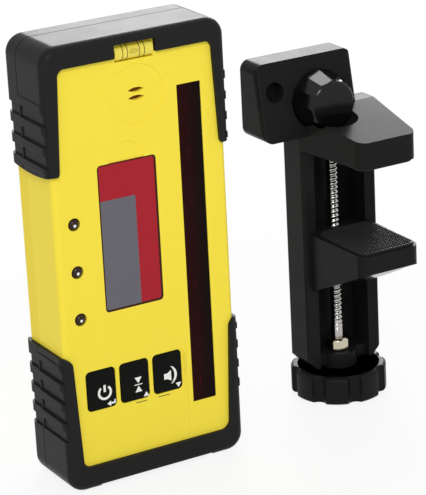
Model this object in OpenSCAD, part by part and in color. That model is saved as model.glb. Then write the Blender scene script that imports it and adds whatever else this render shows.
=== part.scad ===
// Receiver for a rotating laser level, with the screw clamp that holds it on a levelling rod.
// The receiver stands on its feet and faces -Y. The clamp stands beside it on its knob.

/* [Receiver housing] */
// Width over the bumpers
recv_w = 76.5; // [73:0.5:82]
// Depth over the bumpers
recv_d = 32; // [30:0.5:35]
// Height over the bumpers
recv_h = 174.5; // [170:0.5:185]
// Depth of the front half, back to the parting line
front_d = 21.3; // [20:0.1:22]
// How far the bumpers stand proud of the body
proud = 1.5; // [0.7:0.1:1.6]
// How deep the bumpers are let into the body
inlay = 0.8; // [0.5:0.1:1]
// Wall of the two shells
wall = 2.2; // [2:0.1:2.6]
// Height of the gasket between the shells
gasket_t = 0.4; // [0.3:0.1:0.8]
// Corner radius of the housing in front view
corner_r = 7; // [4:0.5:8]
// Radius of the housing's front and back edges
edge_r = 3.7; // [2.5:0.1:4]
// Width of the bumper bands at the front panel's corners
band_w = 6.1; // [5:0.1:7]
// Lean of the bands' inner edges, in degrees; the bands narrow toward the tips
band_lean = 2.6; // [0:0.1:3]
// Height of the band under the front panel
band_bottom = 9.7; // [8:0.1:11]
// Height of the band over the front panel
band_top = 8.3; // [7.5:0.1:9]
// Corner radius of the front panel
panel_r = 2.2; // [1.5:0.1:3]
// Length of the upper bumper, down to its tips
top_tip_l = 49.6; // [47:0.2:55]
// Height of the lower bumper's tips
bottom_tip_z = 55; // [50:0.5:58]
// Rounding of the bumper tips
tip_r = 3.5; // [2.5:0.5:4.5]
// How far the tip line sags between front and back
tip_sag = 1.4; // [1:0.1:2]
// Width of a grip groove
groove_w = 4.4; // [3:0.1:5]
// Depth of a grip groove
groove_t = 0.8; // [0.5:0.1:1]
// Spacing of the grip grooves
groove_pitch = 8; // [7:0.5:9]
// Smooth strip between the front face and the grip grooves
groove_front = 1.4; // [1:0.1:6]
// Height of the lowest groove of the upper bumper over the tips
top_groove_rise = 7; // [6:0.2:10]
// Height of the lowest groove of the lower bumper
bottom_groove_z = 23.5; // [18:0.5:24]
// Grooves on each side of the upper bumper
top_grooves = 3; // [1:1:4]
// Grooves on each side of the lower bumper
bottom_grooves = 4; // [1:1:4]
// Width of a foot
foot_w = 13.3; // [11:0.1:16]
// Height of the hollow between the feet
foot_h = 1.4; // [0.6:0.1:1.6]

/* [Detector] */
// Width of the detector window
window_w = 10; // [8:0.1:10]
// Distance of the detector window from the top and the bottom, before its rise
window_end = 23.75; // [22:0.25:31]
// How far the middle of the window and of the lamps lies over the housing's middle
window_rise = 0.7; // [0:0.1:1]
// Sideways place of the detector window
window_x = 22.1; // [21:0.1:22.4]
// Thickness of the detector window
window_t = 1.2; // [0.8:0.1:1.4]
// Ledge that the window is glued to
window_ledge = 0.8; // [0.5:0.1:1.2]
// How deep the window lies under the front face
window_set = 0.2; // [0.1:0.1:0.4]
// Thickness of the ribs that carry the detector board
rib_t = 1; // [0.8:0.1:1.2]
// Height of those ribs
rib_h = 2.7; // [2.4:0.1:3.2]
// How far the detector board runs past the window
detector_over = 2; // [1:0.5:2.5]
// Thickness of the detector board
detector_t = 1.2; // [1:0.1:1.6]
// Photodiodes in the row
diode_count = 10; // [6:1:12]
// Width of a photodiode
diode_w = 5; // [4:0.5:6]
// Length of a photodiode
diode_l = 8.4; // [6:0.2:9]
// Height of a photodiode
diode_t = 1.6; // [1:0.1:2]

/* [Display] */
// Width of the display film
film_w = 24.6; // [22:0.1:26]
// Bare strip between the keys and the display film
key_strip = 22; // [20:0.5:28]
// Sideways place of the film
film_x = -5.7; // [-6.5:0.1:-5]
// Thickness of the film
film_t = 0.4; // [0.3:0.1:0.6]
// Corner radius of the film
film_r = 1.5; // [1:0.1:2.5]
// Margin of the film around the display opening
film_margin = 3; // [2.5:0.5:4]
// Thickness of the display glass
glass_t = 2; // [1.6:0.1:2.6]
// How far the display glass laps behind the wall
glass_lap = 2; // [1.5:0.1:2.5]
// Radius of the thumb hollow over the film
thumb_r = 7.4; // [6:0.2:9]
// Bare strip between the thumb hollow and the loudspeaker's
thumb_gap = 5.7; // [3:0.1:8]
// Depth of the shallow hollows in the front face
relief_t = 0.35; // [0.2:0.05:0.5]
// Width of the crease beside the keys
crease_w = 1.4; // [0.6:0.1:1.6]
// Length of the crease beside the keys
crease_l = 32; // [20:1:34]
// Sideways place of the crease
crease_x = 14.4; // [14:0.1:15.2]

/* [Keys] */
// Width of a key
key_w = 12; // [10:0.2:12.6]
// Height of a key
key_h = 15.6; // [13:0.2:17]
// Corner radius of a key
key_r = 1.6; // [1:0.1:2.5]
// Spacing of the keys
key_pitch = 14.3; // [13.8:0.1:14.6]
// Sideways place of the middle key
key_x = -8; // [-8.4:0.1:-7.6]
// Height of the keys' middle
key_z = 39.6; // [36:0.2:41]
// How far a key stands proud of the front face
key_proud = 0.45; // [0.3:0.05:0.8]
// Travel of a key
key_travel = 0.8; // [0.5:0.1:0.9]
// Gap around a key
key_gap = 0.3; // [0.25:0.05:0.4]
// Rim that keeps a key in the shell
key_rim = 0.7; // [0.6:0.05:0.8]
// Thickness of that rim
key_rim_t = 1; // [0.8:0.1:1.2]
// Play of a key behind the wall
key_play = 0.15; // [0.1:0.05:0.25]
// Radius of a key's plunger
plunger_r = 1.8; // [1.4:0.1:2.4]
// Width of a key switch
switch_w = 6; // [5:0.5:7]
// Height of a key switch over the board
switch_h = 2.6; // [2.2:0.1:2.8]
// Radius of a switch's button
switch_r = 1.6; // [1.2:0.1:2]
// Height of a switch's button
switch_cap = 0.7; // [0.5:0.1:0.8]

/* [Lamps, vial and loudspeaker] */
// Radius of a lamp
led_r = 2.45; // [2:0.05:2.6]
// Sideways place of the lamps
led_x = -28.8; // [-29.8:0.1:-28.4]
// Spacing of the lamps
led_pitch = 18.7; // [16:0.1:20]
// How far a lamp's dome stands proud
led_proud = 0.9; // [0.6:0.1:0.9]
// Rim behind the wall that keeps a lamp in place
led_rim = 0.5; // [0.4:0.1:0.7]
// Thickness of that rim
led_rim_t = 1; // [0.8:0.1:1.2]
// Radius of a lamp's wire
wire_r = 0.3; // [0.25:0.05:0.4]
// Distance between a lamp's wires
wire_gap = 2.54; // [2:0.02:3]
// Radius of the vial
vial_r = 3.1; // [2.8:0.1:3.3]
// Length of the vial
vial_l = 15.8; // [14:0.2:18]
// Depth of the vial's axis under the top
vial_drop = 7; // [6.8:0.1:7.2]
// Depth of the vial's axis behind the front face
vial_set = 2.3; // [2.2:0.1:2.8]
// Wall of the vial
vial_wall = 0.9; // [0.7:0.1:1.1]
// Wall of the seat behind the vial
seat_wall = 1.2; // [1:0.1:1.3]
// Length of the vial's bubble
bubble_l = 4.6; // [4:0.2:6]
// Radius of the vial's bubble
bubble_r = 1.3; // [1:0.1:1.5]
// Length of a sound slot
slot_l = 6.8; // [5:0.2:8]
// Height of a sound slot
slot_h = 1.8; // [1:0.1:1.8]
// Spacing of the sound slots
slot_pitch = 3; // [2.6:0.1:3.6]
// Sideways place of the loudspeaker
sound_x = 0.3; // [-0.5:0.1:1]
// Depth of the loudspeaker's middle under the top
sound_drop = 23.2; // [23:0.2:24]
// Radius of the hollow around the sound slots
dish_r = 11.3; // [10.5:0.1:11.5]
// Radius of the loudspeaker
speaker_r = 9.5; // [8:0.1:10]
// Thickness of the loudspeaker
speaker_t = 3.2; // [2.6:0.1:3.6]
// Thickness of the loudspeaker's gasket
speaker_gasket_t = 0.6; // [0.4:0.1:0.8]
// Width of the loudspeaker's gasket
speaker_gasket_w = 1.6; // [1.2:0.1:2]

/* [Boards and screws] */
// Thickness of the main board
board_t = 1.6; // [1.2:0.1:1.8]
// Width of the main board
board_w = 66; // [64.5:0.5:67]
// Distance of the main board from the top and the bottom
board_z = 20.5; // [20:0.5:22]
// Distance of the main board behind the front wall
board_set = 6.46; // [6.2:0.02:7]
// Radius of a board post
post_r = 2; // [2:0.1:2.3]
// Sideways place of the board posts
post_x = 30.5; // [30.3:0.1:30.6]
// Height of the lower board posts over the board's lower edge
post_rise = 4; // [3.5:0.1:5]
// Depth of the upper board posts under the board's upper edge
post_drop = 24.5; // [20:0.5:28]
// Thread radius of a board screw
board_screw_r = 1; // [0.8:0.1:1.1]
// Head radius of a board screw
board_head_r = 1.9; // [1.6:0.1:2.1]
// Head height of a board screw
board_head_t = 1.1; // [0.9:0.1:1.3]
// How deep a board screw goes into its post
board_screw_l = 4; // [3:0.5:4.5]
// Radius of a housing screw boss
boss_r = 3.2; // [2.9:0.1:3.3]
// Sideways place of the housing screws
screw_x = 28.4; // [27.5:0.1:28.6]
// Height of the lower housing screws
screw_low_z = 15.4; // [15:0.1:16]
// Depth of the upper housing screws under the top
screw_drop = 15.6; // [15:0.1:15.8]
// Thread radius of a housing screw
screw_r = 1.4; // [1.2:0.1:1.5]
// Head radius of a housing screw
screw_head_r = 2.6; // [2.3:0.1:2.7]
// Head height of a housing screw
screw_head_t = 1.8; // [1.4:0.1:2]
// How deep a housing screw goes into the front half
screw_grip = 9; // [7:0.5:11]
// Depth of the housing screw heads under the back
screw_set = 1.2; // [0.8:0.1:1.6]
// Width of the driver slot in a screw head
slot_w = 0.6; // [0.5:0.1:0.8]

/* [Batteries and rear] */
// Length of a battery with its button
cell_l = 50.2; // [49:0.1:50.6]
// Radius of a battery's button
cell_button_r = 2.75; // [2.4:0.05:3]
// Height of a battery's button
cell_button_t = 1.2; // [1:0.1:1.6]
// Clearance between the batteries and around them
cell_gap = 0.25; // [0.15:0.05:0.4]
// Space for a contact at each end
contact_space = 1.4; // [1.2:0.1:2]
// Width of a contact
contact_w = 8; // [6:0.5:9]
// Radius of a contact's dimple
dimple_r = 2; // [1.5:0.1:2.4]
// Thickness of a contact
contact_t = 0.4; // [0.3:0.05:0.5]
// Floor of the battery tub
tub_floor = 1.1; // [1:0.1:1.4]
// Side wall of the battery tub behind the door's edge
tub_wall = 1.5; // [1.2:0.1:2]
// Rim that the door's seal lies on
seal_w = 1.7; // [1.5:0.1:2]
// Thickness of the door's seal
seal_t = 0.5; // [0.4:0.1:0.7]
// Thickness of the battery door
door_t = 2; // [1.8:0.1:2.2]
// Gap around the battery door
door_gap = 0.3; // [0.25:0.05:0.45]
// Height of the battery door's lower edge
door_z = 11.8; // [11.4:0.1:13]
// Radius of the door's hinge barrel
barrel_r = 1.6; // [1.5:0.05:1.8]
// Radius of the door's hinge pin
pin_r = 0.75; // [0.6:0.05:0.9]
// Running clearance of the hinge pin
pin_fit = 0.05; // [0.03:0.01:0.08]
// How far the hinge pin goes into each side
pin_hold = 2.6; // [2:0.1:3]
// Width of the finger hollow in the door
finger_w = 16; // [12:1:20]
// Depth of the finger hollow
finger_t = 0.9; // [0.6:0.1:1]
// Radius of the finger hollow's curve
finger_r = 9; // [7:0.5:12]
// Board clearance in front of the battery tub
board_gap = 0.3; // [0.2:0.05:0.5]
// Tapping radius of the bracket insert
insert_r = 2.5; // [2.1:0.05:3]
// Outside radius of the bracket insert
insert_out_r = 4.2; // [3.8:0.1:4.6]
// Length of the bracket insert
insert_l = 8; // [6:0.5:9]
// Wall of the boss around the insert
insert_wall = 1.8; // [1.4:0.1:2.4]
// Height of the insert over the battery tub
insert_rise = 13; // [9:0.5:20]

/* [Clamp stand] */
// Sideways distance from the receiver to the clamp's screw
clamp_x = 101; // [92:1:120]
// Distance of the clamp's screw behind the receiver's middle
clamp_y = 12.9; // [5:0.1:20]

/* [Clamp frame] */
// Width of the column
col_w = 35; // [32:0.2:36]
// Depth of the column in front of the screw
col_front = 5.5; // [5:0.1:6.5]
// Depth of the column behind the screw
col_back = 8.5; // [8:0.1:10]
// Side wall of the column
col_wall = 5.7; // [4:0.1:6]
// Back wall of the column
col_web = 2.6; // [2.4:0.1:3]
// Edge radius of the column
col_r = 1.4; // [1:0.1:2]
// Radius of the column's upper rear edge
col_top_r = 7; // [4:0.5:8]
// Height of the column's lower end
col_z = 13; // [12.6:0.1:15]
// Chamfer of the column's lower corners
col_chamfer = 4.2; // [3:0.1:5]
// Height of the floor under the screw's collar
floor_z = 17.8; // [17:0.1:20]
// Radius of the bearing boss that goes down into the knob
bearing_r = 7.8; // [7:0.1:9]
// Height of the bearing boss's lower end
bearing_z = 4.6; // [4.4:0.1:6]
// Width of the fixed jaw at its tip
fixed_w = 27; // [26:0.2:30]
// Width of the moving jaw at its tip
moving_w = 27.4; // [25:0.2:29]
// Width of the moving jaw at the column
moving_root_w = 29; // [28:0.2:31]
// Reach of the jaws in front of the screw
jaw_reach = 42; // [36:0.5:46]
// Corner radius of the jaw tips
jaw_r = 4.5; // [3:0.5:6]
// Height of the fixed jaw's underside
fixed_z = 107.2; // [104:0.2:108]
// Thickness of the fixed jaw at its tip
fixed_tip_t = 10.6; // [9:0.1:12]
// Thickness of the fixed jaw at the column
fixed_root_t = 16; // [14:0.1:17]
// Width of the mounting block
block_w = 44.5; // [40:0.5:46]
// Height of the mounting block
block_h = 31; // [29:0.1:34]
// Height of the mounting block's lower edge over the fixed jaw's underside
block_rise = 6.4; // [6:0.2:8]
// How far the block overhangs on the left of the screw
block_left = 35.5; // [33:0.5:36]
// Thickness of the block at its top edge
block_top_t = 11; // [10:0.1:12]
// Thickness of the block at its lower edge
block_bottom_t = 17; // [16:0.1:18]
// Corner radius of the block in front view
block_r = 4; // [3:0.1:5]
// Edge radius of the block's sloping face
block_edge_r = 2.4; // [1:0.1:2.5]
// Radius of the cored hole in the block
core_r = 4; // [3:0.1:4.4]
// Depth of the cored hole
core_t = 6; // [4:0.5:7]
// Distance of the cored hole from the fixing screw
core_x = 20; // [19:0.1:20.5]
// Height of the cored hole over the fixing screw
core_rise = 6.4; // [4:0.1:6.5]

/* [Clamp screw and jaw] */
// Radius of the lead screw
lead_r = 2.6; // [2.6:0.1:3.4]
// How far the lead screw goes into the fixed jaw
lead_in = 4.8; // [3.8:0.1:5.8]
// Radius of the screw's lower journal
journal_r = 2.5; // [2.2:0.1:2.6]
// Running clearance of the screw in its bearings
screw_fit = 0.05; // [0.03:0.01:0.08]
// Height of the journal's lower end
journal_z = 2.4; // [2.2:0.1:2.8]
// Radius of the thrust collar
collar_r = 5; // [4.4:0.1:5.6]
// Height of the thrust collar
collar_h = 5; // [4:0.1:6]
// Play under the thrust collar
collar_play = 0.3; // [0.2:0.05:0.4]
// Chamfer of the thrust collar
collar_chamfer = 0.8; // [0.4:0.1:1]
// Height of the moving jaw's top face under its pad
moving_z = 71.5; // [66:0.5:76]
// Thickness of the moving jaw at its tip
moving_tip_t = 7.6; // [6:0.1:10]
// Thickness of the moving jaw at the column
moving_root_t = 24; // [18:0.5:26]
// Clearance of the moving jaw in the column
jaw_gap = 0.35; // [0.3:0.05:0.5]
// Clearance of the moving jaw around the screw
lead_gap = 0.5; // [0.4:0.05:0.7]
// Thickness of a jaw pad
pad_t = 1.5; // [1.2:0.1:2]
// Margin of a pad inside its jaw
pad_margin = 1.2; // [0.8:0.1:2]
// Corner radius of a pad
pad_r = 3.2; // [2:0.1:4]
// Width of the jaw nut across its corners
nut_w = 10.2; // [9.6:0.1:10.6]
// Height of the jaw nut
nut_h = 6; // [5:0.5:8]
// Height of the nut's seat over the moving jaw's lower edge
nut_rise = 8; // [6:0.5:10]

/* [Knobs] */
// Radius of the clamp knob
knob_r = 19.6; // [18.5:0.1:21]
// Height of the clamp knob
knob_h = 11.6; // [11:0.1:12.2]
// Wall of the clamp knob at its lobes
knob_wall = 3.9; // [3:0.1:4.2]
// Floor of the clamp knob
knob_floor = 4.2; // [4:0.1:4.3]
// Lobes of the clamp knob
knob_lobes = 8; // [6:1:10]
// Turn of the clamp knob's grooves about its axis
knob_turn = -12.7; // [-14:0.1:-10]
// Radius of a groove between the lobes
knob_groove_r = 3.2; // [2.6:0.1:3.6]
// Depth of a groove between the lobes
knob_groove_t = 2.5; // [1.2:0.1:2.6]
// Chamfer around the clamp knob
knob_chamfer = 0.9; // [0.6:0.1:1.2]
// Head radius of the knob's screw
knob_head_r = 3; // [2.6:0.1:3.4]
// Head height of the knob's screw
knob_head_t = 1.6; // [1.2:0.1:1.8]
// Thread radius of the knob's screw
knob_screw_r = 1.2; // [1:0.1:1.4]
// How deep the knob's screw goes into the lead screw
knob_screw_l = 9; // [6:0.5:10]
// Sideways place of the fixing knob, left of the clamp screw
fix_x = 8; // [7:0.1:9]
// How far the fixing knob's axis lies under the middle of the mounting block
fix_drop = 2.5; // [1.6:0.1:2.6]
// Corner radius of the fixing knob at the block
fix_rear_r = 12.6; // [11.5:0.1:13]
// Corner radius of the fixing knob at its face
fix_face_r = 9.8; // [9:0.1:10]
// Length of the fixing knob
fix_l = 11; // [9:0.1:13]
// Depth of the seat that the fixing knob turns on, over the block's back
fix_seat = 13; // [12.6:0.1:13.2]
// Radial gap around the fixing knob in its seat
fix_gap = 0.5; // [0.4:0.1:0.6]
// Play between the fixing knob and its seat
fix_play = 0.3; // [0.2:0.05:0.4]
// Flats around the fixing knob
fix_flats = 12; // [8:1:16]
// Chamfer around the fixing knob's face
fix_chamfer = 0.7; // [0.5:0.1:0.9]
// Radius of the hollow that the jaw has in front of the fixing knob
fix_scoop_r = 11; // [10.6:0.1:11.6]
// Thread radius of the fixing screw
fix_screw_r = 3; // [2.6:0.1:3.2]
// How far the fixing screw stands out behind the block
fix_screw_out = 7.5; // [6:0.5:9]
// Clearance of the fixing screw in the block
fix_screw_gap = 0.3; // [0.3:0.05:0.5]
// How deep the fixing screw is held in its knob
fix_screw_hold = 8; // [6:0.5:9]
// Outside radius of the retaining ring
ring_r = 5; // [4.4:0.1:5.4]
// Thickness of the retaining ring
ring_t = 0.8; // [0.6:0.1:1]
// Depth of the ring's recess in the block's back
ring_recess = 2; // [1.6:0.1:2.4]
// Side gap of the retaining ring in its recess
ring_gap = 0.7; // [0.5:0.1:1]

/* [Hidden] */
$fn = 64;
// Clearance of pieces that are moulded, glued or pressed together
fit = 0.04;
// Overrun of a cut past a face
over = 1;

// Receiver: faces and halves
body_w = recv_w - 2 * proud;
body_d = recv_d - 2 * proud;
body_h = recv_h - 2 * proud;
core_w = body_w - 2 * inlay;
core_d = body_d - 2 * inlay;
core_h = body_h - 2 * inlay;
cave_w = body_w - 2 * wall;
cave_d = body_d - 2 * wall;
cave_h = body_h - 2 * wall;
mid_z = recv_h / 2;
front_y = -recv_d / 2;
rear_y = recv_d / 2;
face_y = front_y + proud;
back_y = rear_y - proud;
part_y = front_y + front_d;
in_face_y = face_y + wall;
in_back_y = back_y - wall;
panel_w = recv_w - 2 * band_w;
panel_h = recv_h - band_bottom - band_top;
panel_z = band_bottom + panel_h / 2;
panel_top = recv_h - band_top;
top_tip_z = recv_h - top_tip_l;
top_groove_z = top_tip_z + top_groove_rise;
screw_high_z = recv_h - screw_drop;
// Radius of the sagging tip line of the upper bumper
sag_r = (rear_y * rear_y + tip_sag * tip_sag) / (2 * tip_sag);
foot_gap_w = recv_w - 2 * foot_w;
groove_y = front_y + groove_front;

// Receiver: main board, from the front wall to the battery tub
board_y = in_face_y + board_set;
board_back_y = board_y + board_t;
board_l = recv_h - 2 * board_z;
post_low_z = board_z + post_rise;
post_high_z = board_z + board_l - post_drop;

// Receiver: battery tub; the batteries are as thick as it lets in
tub_front_y = board_back_y + board_gap;
tub_y = tub_front_y + tub_floor;
door_in_y = back_y - door_t;
rim_y = door_in_y - seal_t - fit;
cell_d = rim_y - tub_y - 2 * cell_gap;
cell_y = (rim_y + tub_y) / 2;
tub_in_w = 2 * cell_d + 3 * cell_gap;
tub_in_h = cell_l + 2 * contact_space;
door_w = tub_in_w + 2 * seal_w;
barrel_z = door_z + barrel_r;
barrel_y = back_y - barrel_r;
barrel_gap_r = barrel_r + door_gap;
tub_z = barrel_z + barrel_gap_r + seal_w;
door_top_z = tub_z + tub_in_h + seal_w;
door_h = door_top_z - door_z;
tub_out_w = door_w + 2 * door_gap + 2 * tub_wall;
tub_out_z = door_z - door_gap - tub_wall;
tub_out_h = door_h + 2 * door_gap + 2 * tub_wall;
cell_z = tub_z + contact_space;
cell_x = (cell_d + cell_gap) / 2;
pin_l = door_w + 2 * door_gap + 2 * pin_hold;
insert_y = back_y - insert_l;
insert_z = tub_out_z + tub_out_h + insert_rise;

// Receiver: front pieces
vial_z = recv_h - vial_drop;
sound_z = recv_h - sound_drop;
window_h = recv_h - 2 * window_end;
window_z = mid_z + window_rise;
window_y = face_y + window_set;
window_in_y = window_y + window_t + fit;
rib_y = in_face_y + rib_h;
detector_w = window_w + 2 * rib_t;
detector_l = window_h + 2 * detector_over;
diode_pitch = window_h / diode_count;
film_low_z = key_z + key_h / 2 + key_strip;
film_top_z = sound_z - dish_r - thumb_gap - thumb_r;
film_h = film_top_z - film_low_z;
film_z = (film_low_z + film_top_z) / 2;
view_w = film_w - 2 * film_margin;
view_h = film_h - 2 * film_margin;
glass_w = view_w + 2 * glass_lap;
glass_h = view_h + 2 * glass_lap;
glass_y = in_face_y + fit;
frame_y = glass_y + glass_t + fit;
switch_top = switch_h + switch_cap;
rim_in_y = in_face_y + key_play;
plunger_y = board_y - switch_top - key_travel - key_play;
crease_z = band_bottom + crease_w + crease_l / 2;
slot_r = (slot_l * slot_l + slot_h * slot_h) / (4 * slot_h);
speaker_y = in_face_y + speaker_gasket_t + fit;
vial_y = face_y + vial_set;
vial_cut_r = vial_r + fit;
seat_r = vial_r + seat_wall;
screw_head_y = back_y - screw_set - screw_head_t;

// Clamp
chan_w = col_w - 2 * col_wall;
chan_y = col_back - col_web;
col_top = fixed_z + fixed_root_t;
jaw_l = jaw_reach - col_front;
lead_top = fixed_z + lead_in;
col_cut = col_chamfer * sqrt(2);
block_z = fixed_z + block_rise;
block_mid_x = block_w / 2 - block_left;
block_mid_z = block_z + block_h / 2;
block_top = block_z + block_h;
fix_z = block_mid_z - fix_drop;
block_slope = atan((block_bottom_t - block_top_t) / block_h);
fix_seat_y = col_back - fix_seat;
fix_rear_y = fix_seat_y - fix_play;
fix_face_y = fix_rear_y - fix_l;
ring_y = col_back - ring_recess + (ring_recess - ring_t) / 2;
collar_z = floor_z + collar_play;
moving_low = moving_z - moving_root_t;
nut_z = moving_low + nut_rise;
knob_in_r = knob_r - knob_wall;

// Place of the receiver and the clamp, with the origin under the middle of the pair
set_mid_x = (clamp_x + max(knob_r, col_w / 2) - recv_w / 2) / 2;
set_front = min(-recv_d / 2, clamp_y - jaw_reach);
set_back = max(recv_d / 2, clamp_y + knob_r);
set_mid_y = (set_front + set_back) / 2;

// Puts a receiver piece in its place
module at_receiver() {
    translate([-set_mid_x, -set_mid_y, 0]) children();
}

// Puts a clamp piece in its place
module at_clamp() {
    translate([clamp_x - set_mid_x, clamp_y - set_mid_y, 0]) children();
}

// Rectangle with true round corners, centred
module round_rect(w, h, r) {
    square([w - 2 * r, h], center = true);
    square([w, h - 2 * r], center = true);
    for (x = [-1, 1], y = [-1, 1])
        translate([x * (w / 2 - r), y * (h / 2 - r)]) circle(r);
}

// Extrudes a front view (x, z) from y0 to y1
module front_view(y0, y1) {
    translate([0, y1, 0]) rotate([90, 0, 0]) linear_extrude(y1 - y0) children();
}

// Extrudes a side view (y, z) over a width, centred on x = 0
module side_view(w) {
    translate([-w / 2, 0, 0]) rotate([90, 0, 90]) linear_extrude(w) children();
}

// Cylinder along y from y0 to y1
module rod_y(r, y0, y1) {
    translate([0, y0, 0]) rotate([-90, 0, 0]) cylinder(r = r, h = y1 - y0);
}

// Cylinder along x, centred
module rod_x(r, l) {
    rotate([0, 90, 0]) cylinder(r = r, h = l, center = true);
}

// Outline that narrows from root_w at y = 0 to end_w at y = l, where its corners are round
module tapered_tab(end_w, root_w, l, r) {
    x = end_w / 2 - r;
    y = l - r;
    lean = atan((root_w - end_w) / 2 / y);
    side = [x + r * cos(lean), y + r * sin(lean)];
    root = x + r / cos(lean) + y * tan(lean);
    polygon([[-root, 0], [root, 0], side, [x, l], [-x, l], [-side[0], side[1]]]);
    for (s = [-1, 1])
        translate([s * x, y]) circle(r);
}

// Outer strip of a slab's section, with its two edges round
module rim_section(d, r, e) {
    intersection() {
        translate([0, -d / 2]) square([r, d]);
        round_rect(2 * r, d, e);
    }
}

// Slab with round corners in front view and round front and back edges, centred
module soft_slab(w, d, h, r, e) {
    x = w / 2 - r;
    z = h / 2 - r;
    cube([2 * x, d, 2 * z], center = true);
    for (i = [0 : 3])
        rotate([0, 90 * i, 0]) {
            side = i % 2 == 0 ? x : z;
            run = i % 2 == 0 ? z : x;
            translate([side, 0, -run])
                linear_extrude(2 * run) rim_section(d, r, e);
            translate([side, 0, run])
                rotate([90, 0, 0])
                    rotate_extrude(angle = 90) rim_section(d, r, e);
        }
}

// Outside of the bumpers
module bumper_blank() {
    translate([0, 0, mid_z])
        soft_slab(recv_w, recv_d, recv_h, corner_r, edge_r);
}

// Outside of the bare body
module body_blank() {
    translate([0, 0, mid_z])
        soft_slab(body_w, body_d, body_h, corner_r - proud, edge_r - proud);
}

// Body where the bumpers lie on it, grown by a clearance
module core_blank(grow) {
    translate([0, 0, mid_z])
        soft_slab(core_w + 2 * grow, core_d + 2 * grow, core_h + 2 * grow,
            corner_r - proud + grow, edge_r - proud + grow);
}

// Space inside the shells
module cave() {
    translate([0, 0, mid_z])
        front_view(-cave_d / 2, cave_d / 2)
            round_rect(cave_w, cave_h, corner_r - wall);
}

// Half of the housing in front of the parting line, or behind it
module half_space(front) {
    w = recv_w + 2 * over;
    d = recv_d + 2 * over;
    y = front ? part_y - gasket_t / 2 - d : part_y + gasket_t / 2;
    translate([-w / 2, y, -over]) cube([w, d, recv_h + 2 * over]);
}

// Window of the bumpers around the front or the back panel
module panel_window(front, shrink) {
    y0 = front ? front_y - over : back_y - inlay - fit;
    y1 = front ? face_y + inlay + fit : rear_y + over;
    l = panel_h / 2 - shrink;
    end_w = panel_w - 2 * shrink;
    root_w = end_w + 2 * (panel_h / 2 - panel_r) * tan(band_lean);
    translate([0, 0, panel_z])
        front_view(y0, y1)
            for (s = [0, 1])
                mirror([0, s]) tapered_tab(end_w, root_w, l, panel_r - shrink);
}

// Half width of the panel window at a distance from its end
function panel_edge(d) =
    panel_w / 2 - panel_r + panel_r / cos(band_lean) + (d - panel_r) * tan(band_lean);

// Rounds the inner corner of a bumper's tip, on the left or the right
module tip_corner(z, up, shrink) {
    d = up ? panel_top - z : z - band_bottom;
    x = panel_edge(d - tip_r) - shrink / cos(band_lean) - fit;
    for (side = [-1, 1])
        translate([side * x, 0, z])
            mirror([side > 0 ? 0 : 1, 0, 0])
                mirror([0, 0, up ? 0 : 1])
                    front_view(front_y - over, rear_y + over)
                        difference() {
                            translate([-over, -over])
                                square(tip_r + over);
                            translate([tip_r, tip_r])
                                circle(tip_r);
                        }
}

// Region of the upper bumper; grow adds a clearance where it is cut from the shells
module top_region(grow) {
    difference() {
        translate([0, 0, top_tip_z + sag_r - grow])
            intersection() {
                rod_x(sag_r, recv_w + 2 * over);
                translate([0, 0, -sag_r / 2 - over])
                    cube([recv_w + 2 * over, recv_d + 2 * over, sag_r + 2 * over], center = true);
            }
        panel_window(true, grow);
        panel_window(false, grow);
        intersection() {
            tip_corner(top_tip_z - grow, true, grow);
            front_edges();
        }
    }
}

// Region of the lower bumper
module bottom_region(grow) {
    difference() {
        translate([-recv_w / 2 - over, -recv_d / 2 - over, -over])
            cube([recv_w + 2 * over, recv_d + 2 * over, bottom_tip_z + over + grow]);
        panel_window(true, grow);
        panel_window(false, grow);
        intersection() {
            tip_corner(bottom_tip_z + grow, false, grow);
            front_edges();
        }
    }
}

// Layers in front of and behind the body, where the bumper bands lie
module front_edges() {
    w = recv_w + 2 * over;
    t = proud + inlay + fit;
    for (y = [front_y - over, rear_y - t])
        translate([-w / 2, y, 0]) cube([w, t + over, recv_h]);
}

// Grip grooves on both sides of a bumper
module grip_grooves(z0, count) {
    w = edge_r + over;
    l = rear_y + over - groove_y;
    difference() {
        for (side = [-1, 1], i = [0 : count - 1])
            translate([side * (recv_w / 2 + over - w / 2), groove_y + l / 2, z0 + i * groove_pitch])
                cube([w, l, groove_w], center = true);
        translate([0, 0, mid_z])
            soft_slab(recv_w - 2 * groove_t, recv_d - 2 * groove_t, recv_h - 2 * groove_t,
                corner_r - groove_t, edge_r - groove_t);
    }
}

// One soft bumper of the front or the rear half
module bumper(front, top) {
    color("#2b2b2b")
        difference() {
            intersection() {
                bumper_blank();
                half_space(front);
                if (top) top_region(0);
                else bottom_region(0);
            }
            core_blank(fit);
            if (top) grip_grooves(top_groove_z, top_grooves);
            else grip_grooves(bottom_groove_z, bottom_grooves);
            if (top && front) vial_notch();
            if (!top) foot_hollow();
        }
}

// Notch of the front bumper around the vial
module vial_notch() {
    w = vial_l + 2 * panel_r / 3;
    h = vial_z + vial_r + panel_r / 3 - panel_z;
    translate([-w / 2, front_y - over, panel_z])
        cube([w, proud + inlay + over + fit, h]);
}

// Shallow hollow between the feet
module foot_hollow() {
    translate([-foot_gap_w / 2, front_y - over, -over])
        cube([foot_gap_w, recv_d + 2 * over, foot_h + over]);
}

// Outside of both shells together
module shell_blank() {
    core_blank(0);
    difference() {
        body_blank();
        top_region(fit);
        bottom_region(fit);
    }
}

// Keys, lamps and screws share these places
function key_at(i) = key_x + (i - 1) * key_pitch;
function lamp_at(i) = window_z + (1 - i) * led_pitch;
screw_zs = [screw_low_z, screw_high_z];
post_zs = [post_low_z, post_high_z];

module at_shell_screws() {
    for (x = [-screw_x, screw_x], z = screw_zs)
        translate([x, 0, z]) children();
}

module at_posts() {
    for (x = [-post_x, post_x], z = post_zs)
        translate([x, 0, z]) children();
}

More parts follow.
